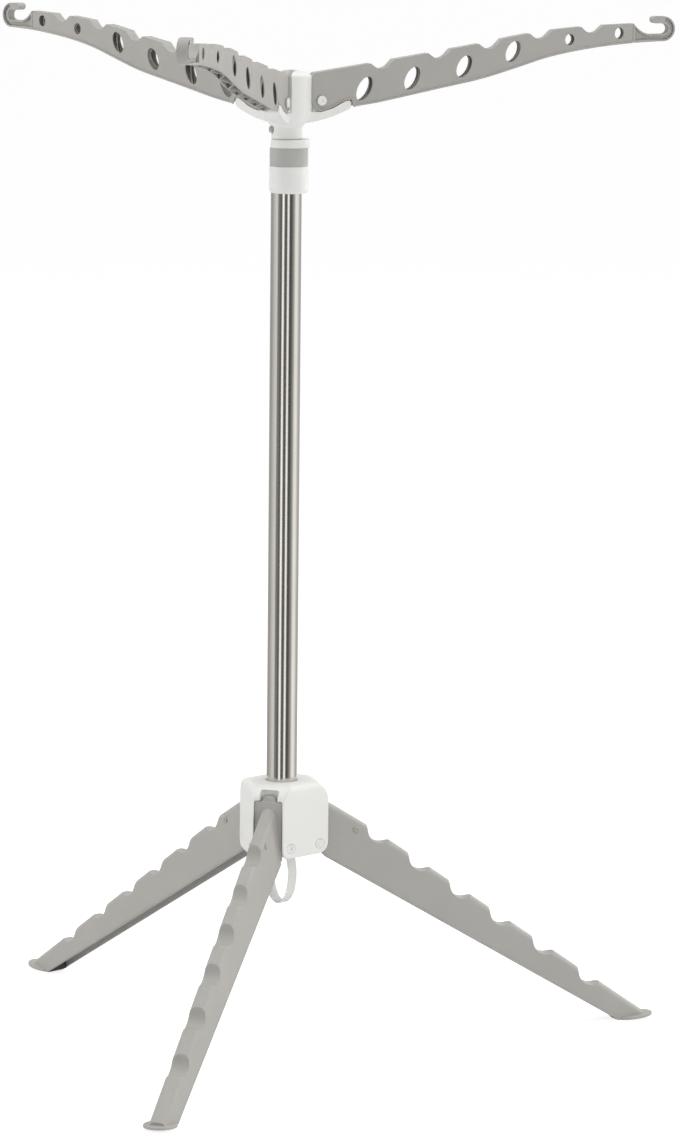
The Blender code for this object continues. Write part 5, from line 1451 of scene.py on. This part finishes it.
# What the polished mast sees round the studio: (degrees from the camera's side, brightness)
STUDIO_CARDS = (
    (-180.0, 0.60), (-150.0, 0.52), (-125.0, 0.45), (-106.0, 0.62), (-92.0, 0.78), (-72.0, 0.95),
    (-64.0, 0.85), (-59.0, 0.28), (-46.0, 0.27), (-38.0, 0.13), (-29.0, 0.16), (-24.0, 1.50),
    (-15.0, 1.50), (-10.0, 0.18), (0.0, 0.12), (9.0, 0.16), (14.0, 1.45), (22.0, 1.45),
    (28.0, 0.10), (44.0, 0.12), (56.0, 0.35), (68.0, 0.60), (76.0, 1.15), (96.0, 1.25),
    (112.0, 0.85), (125.0, 0.58), (150.0, 0.56), (180.0, 0.60),
)
DAYLIGHT = 0.43
CAMERA_SIDE = math.degrees(CAMERA_TURN) - 90.0


def add_world():
    """White round the camera's view, plain daylight, and studio cards for what shines."""
    world = bpy.data.worlds.new("studio")
    bpy.context.scene.world = world
    world.use_nodes = True
    tree = world.node_tree
    tree.nodes.clear()

    def math_node(operation, first, second=None):
        made = tree.nodes.new("ShaderNodeMath")
        made.operation = operation
        for socket, value in zip(made.inputs, (first, second)):
            if value is None:
                continue
            if isinstance(value, float):
                socket.default_value = value
            else:
                tree.links.new(value, socket)
        return made.outputs["Value"]

    direction = tree.nodes.new("ShaderNodeTexCoord").outputs["Generated"]
    axes = tree.nodes.new("ShaderNodeSeparateXYZ")
    tree.links.new(direction, axes.inputs["Vector"])
    turn = math_node("ARCTAN2", axes.outputs["Y"], axes.outputs["X"])
    share = math_node("ADD", math_node("DIVIDE", turn, math.tau), 0.5 - CAMERA_SIDE / 360.0)
    share = math_node("FRACT", share)
    ramp = tree.nodes.new("ShaderNodeValToRGB")
    stops = ramp.color_ramp.elements
    while len(stops) > 1:
        stops.remove(stops[-1])
    top = max(level for _, level in STUDIO_CARDS)
    for number, (degrees, level) in enumerate(STUDIO_CARDS):
        stop = stops[0] if number == 0 else stops.new(0.5 + degrees / 360.0)
        stop.position = 0.5 + degrees / 360.0
        stop.color = (level / top, level / top * 0.985, level / top * 0.955, 1.0)
    tree.links.new(share, ramp.inputs["Fac"])
    steep = math_node("ABSOLUTE", axes.outputs["Z"])
    lid = tree.nodes.new("ShaderNodeMapRange")
    lid.interpolation_type = "SMOOTHSTEP"
    lid.inputs["From Min"].default_value = 0.45
    lid.inputs["From Max"].default_value = 0.75
    tree.links.new(steep, lid.inputs["Value"])
    cards = tree.nodes.new("ShaderNodeMix")
    cards.data_type = "RGBA"
    cards.inputs["B"].default_value = (0.9 / top, 0.9 / top, 0.9 / top, 1.0)
    tree.links.new(lid.outputs["Result"], cards.inputs["Factor"])
    tree.links.new(ramp.outputs["Color"], cards.inputs["A"])
    shine = tree.nodes.new("ShaderNodeBackground")
    shine.inputs["Strength"].default_value = top
    tree.links.new(cards.outputs["Result"], shine.inputs["Color"])
    white = tree.nodes.new("ShaderNodeBackground")
    white.inputs["Strength"].default_value = 1.0
    white.inputs["Color"].default_value = (1.0, 1.0, 1.0, 1.0)
    day = tree.nodes.new("ShaderNodeBackground")
    day.inputs["Strength"].default_value = DAYLIGHT
    day.inputs["Color"].default_value = (1.0, 1.0, 1.0, 1.0)
    path = tree.nodes.new("ShaderNodeLightPath")
    seen = math_node("MAXIMUM", path.outputs["Is Camera Ray"], path.outputs["Is Transmission Ray"])
    first = tree.nodes.new("ShaderNodeMixShader")
    tree.links.new(seen, first.inputs["Fac"])
    tree.links.new(day.outputs["Background"], first.inputs[1])
    tree.links.new(white.outputs["Background"], first.inputs[2])
    second = tree.nodes.new("ShaderNodeMixShader")
    tree.links.new(path.outputs["Is Glossy Ray"], second.inputs["Fac"])
    tree.links.new(first.outputs["Shader"], second.inputs[1])
    tree.links.new(shine.outputs["Background"], second.inputs[2])
    output = tree.nodes.new("ShaderNodeOutputWorld")
    tree.links.new(second.outputs["Shader"], output.inputs["Surface"])


FLOOR_SIZE = 90.0
FLOOR_SHADE = 0.34
FLOOR_GLOW = 0.84


def add_floor():
    """Pale floor that shows white and keeps the rack's soft shadow."""
    shape = bmesh.new()
    bmesh.ops.create_grid(shape, x_segments=8, y_segments=8, size=0.5 * FLOOR_SIZE)
    floor = mesh_object("floor", mesh_from(shape, "floor"))
    material = bpy.data.materials.new("pale_floor")
    material.use_nodes = True
    tree = material.node_tree
    tree.nodes.clear()
    bounce = tree.nodes.new("ShaderNodeBsdfDiffuse")
    bounce.inputs["Color"].default_value = (0.80, 0.80, 0.80, 1.0)
    shown = tree.nodes.new("ShaderNodeBsdfDiffuse")
    shown.inputs["Color"].default_value = (FLOOR_SHADE, FLOOR_SHADE, FLOOR_SHADE, 1.0)
    glow = tree.nodes.new("ShaderNodeEmission")
    glow.inputs["Color"].default_value = (1.0, 1.0, 1.0, 1.0)
    glow.inputs["Strength"].default_value = FLOOR_GLOW
    both = tree.nodes.new("ShaderNodeAddShader")
    tree.links.new(shown.outputs["BSDF"], both.inputs[0])
    tree.links.new(glow.outputs["Emission"], both.inputs[1])
    path = tree.nodes.new("ShaderNodeLightPath")
    seen = tree.nodes.new("ShaderNodeMath")
    seen.operation = "MAXIMUM"
    tree.links.new(path.outputs["Is Camera Ray"], seen.inputs[0])
    tree.links.new(path.outputs["Is Transmission Ray"], seen.inputs[1])
    mix = tree.nodes.new("ShaderNodeMixShader")
    tree.links.new(seen.outputs["Value"], mix.inputs["Fac"])
    tree.links.new(bounce.outputs["BSDF"], mix.inputs[1])
    tree.links.new(both.outputs["Shader"], mix.inputs[2])
    output = tree.nodes.new("ShaderNodeOutputMaterial")
    tree.links.new(mix.outputs["Shader"], output.inputs["Surface"])
    floor.data.materials.append(material)
    floor.visible_glossy = False


dress_legs()
dress_arms()
dress_mast()
dress_head()
dress_base()
finish_nodes()
add_camera()
add_world()
add_floor()
add_lamp("top", (0.0, 0.0, 4.0), (0.0, 0.0, 0.6), 3.0, 82.0)
add_lamp("right_front", (2.4, -2.4, 1.0), (0.0, 0.0, 0.6), 2.0, 35.0)
add_lamp("left", (-3.2, 0.0, 1.2), (0.0, 0.0, 0.6), 2.0, 47.0)
add_lamp("right_back", (2.6, 2.0, 1.6), (0.0, 0.0, 0.6), 2.0, 67.0)
bpy.context.scene.view_settings.view_transform = "Standard"
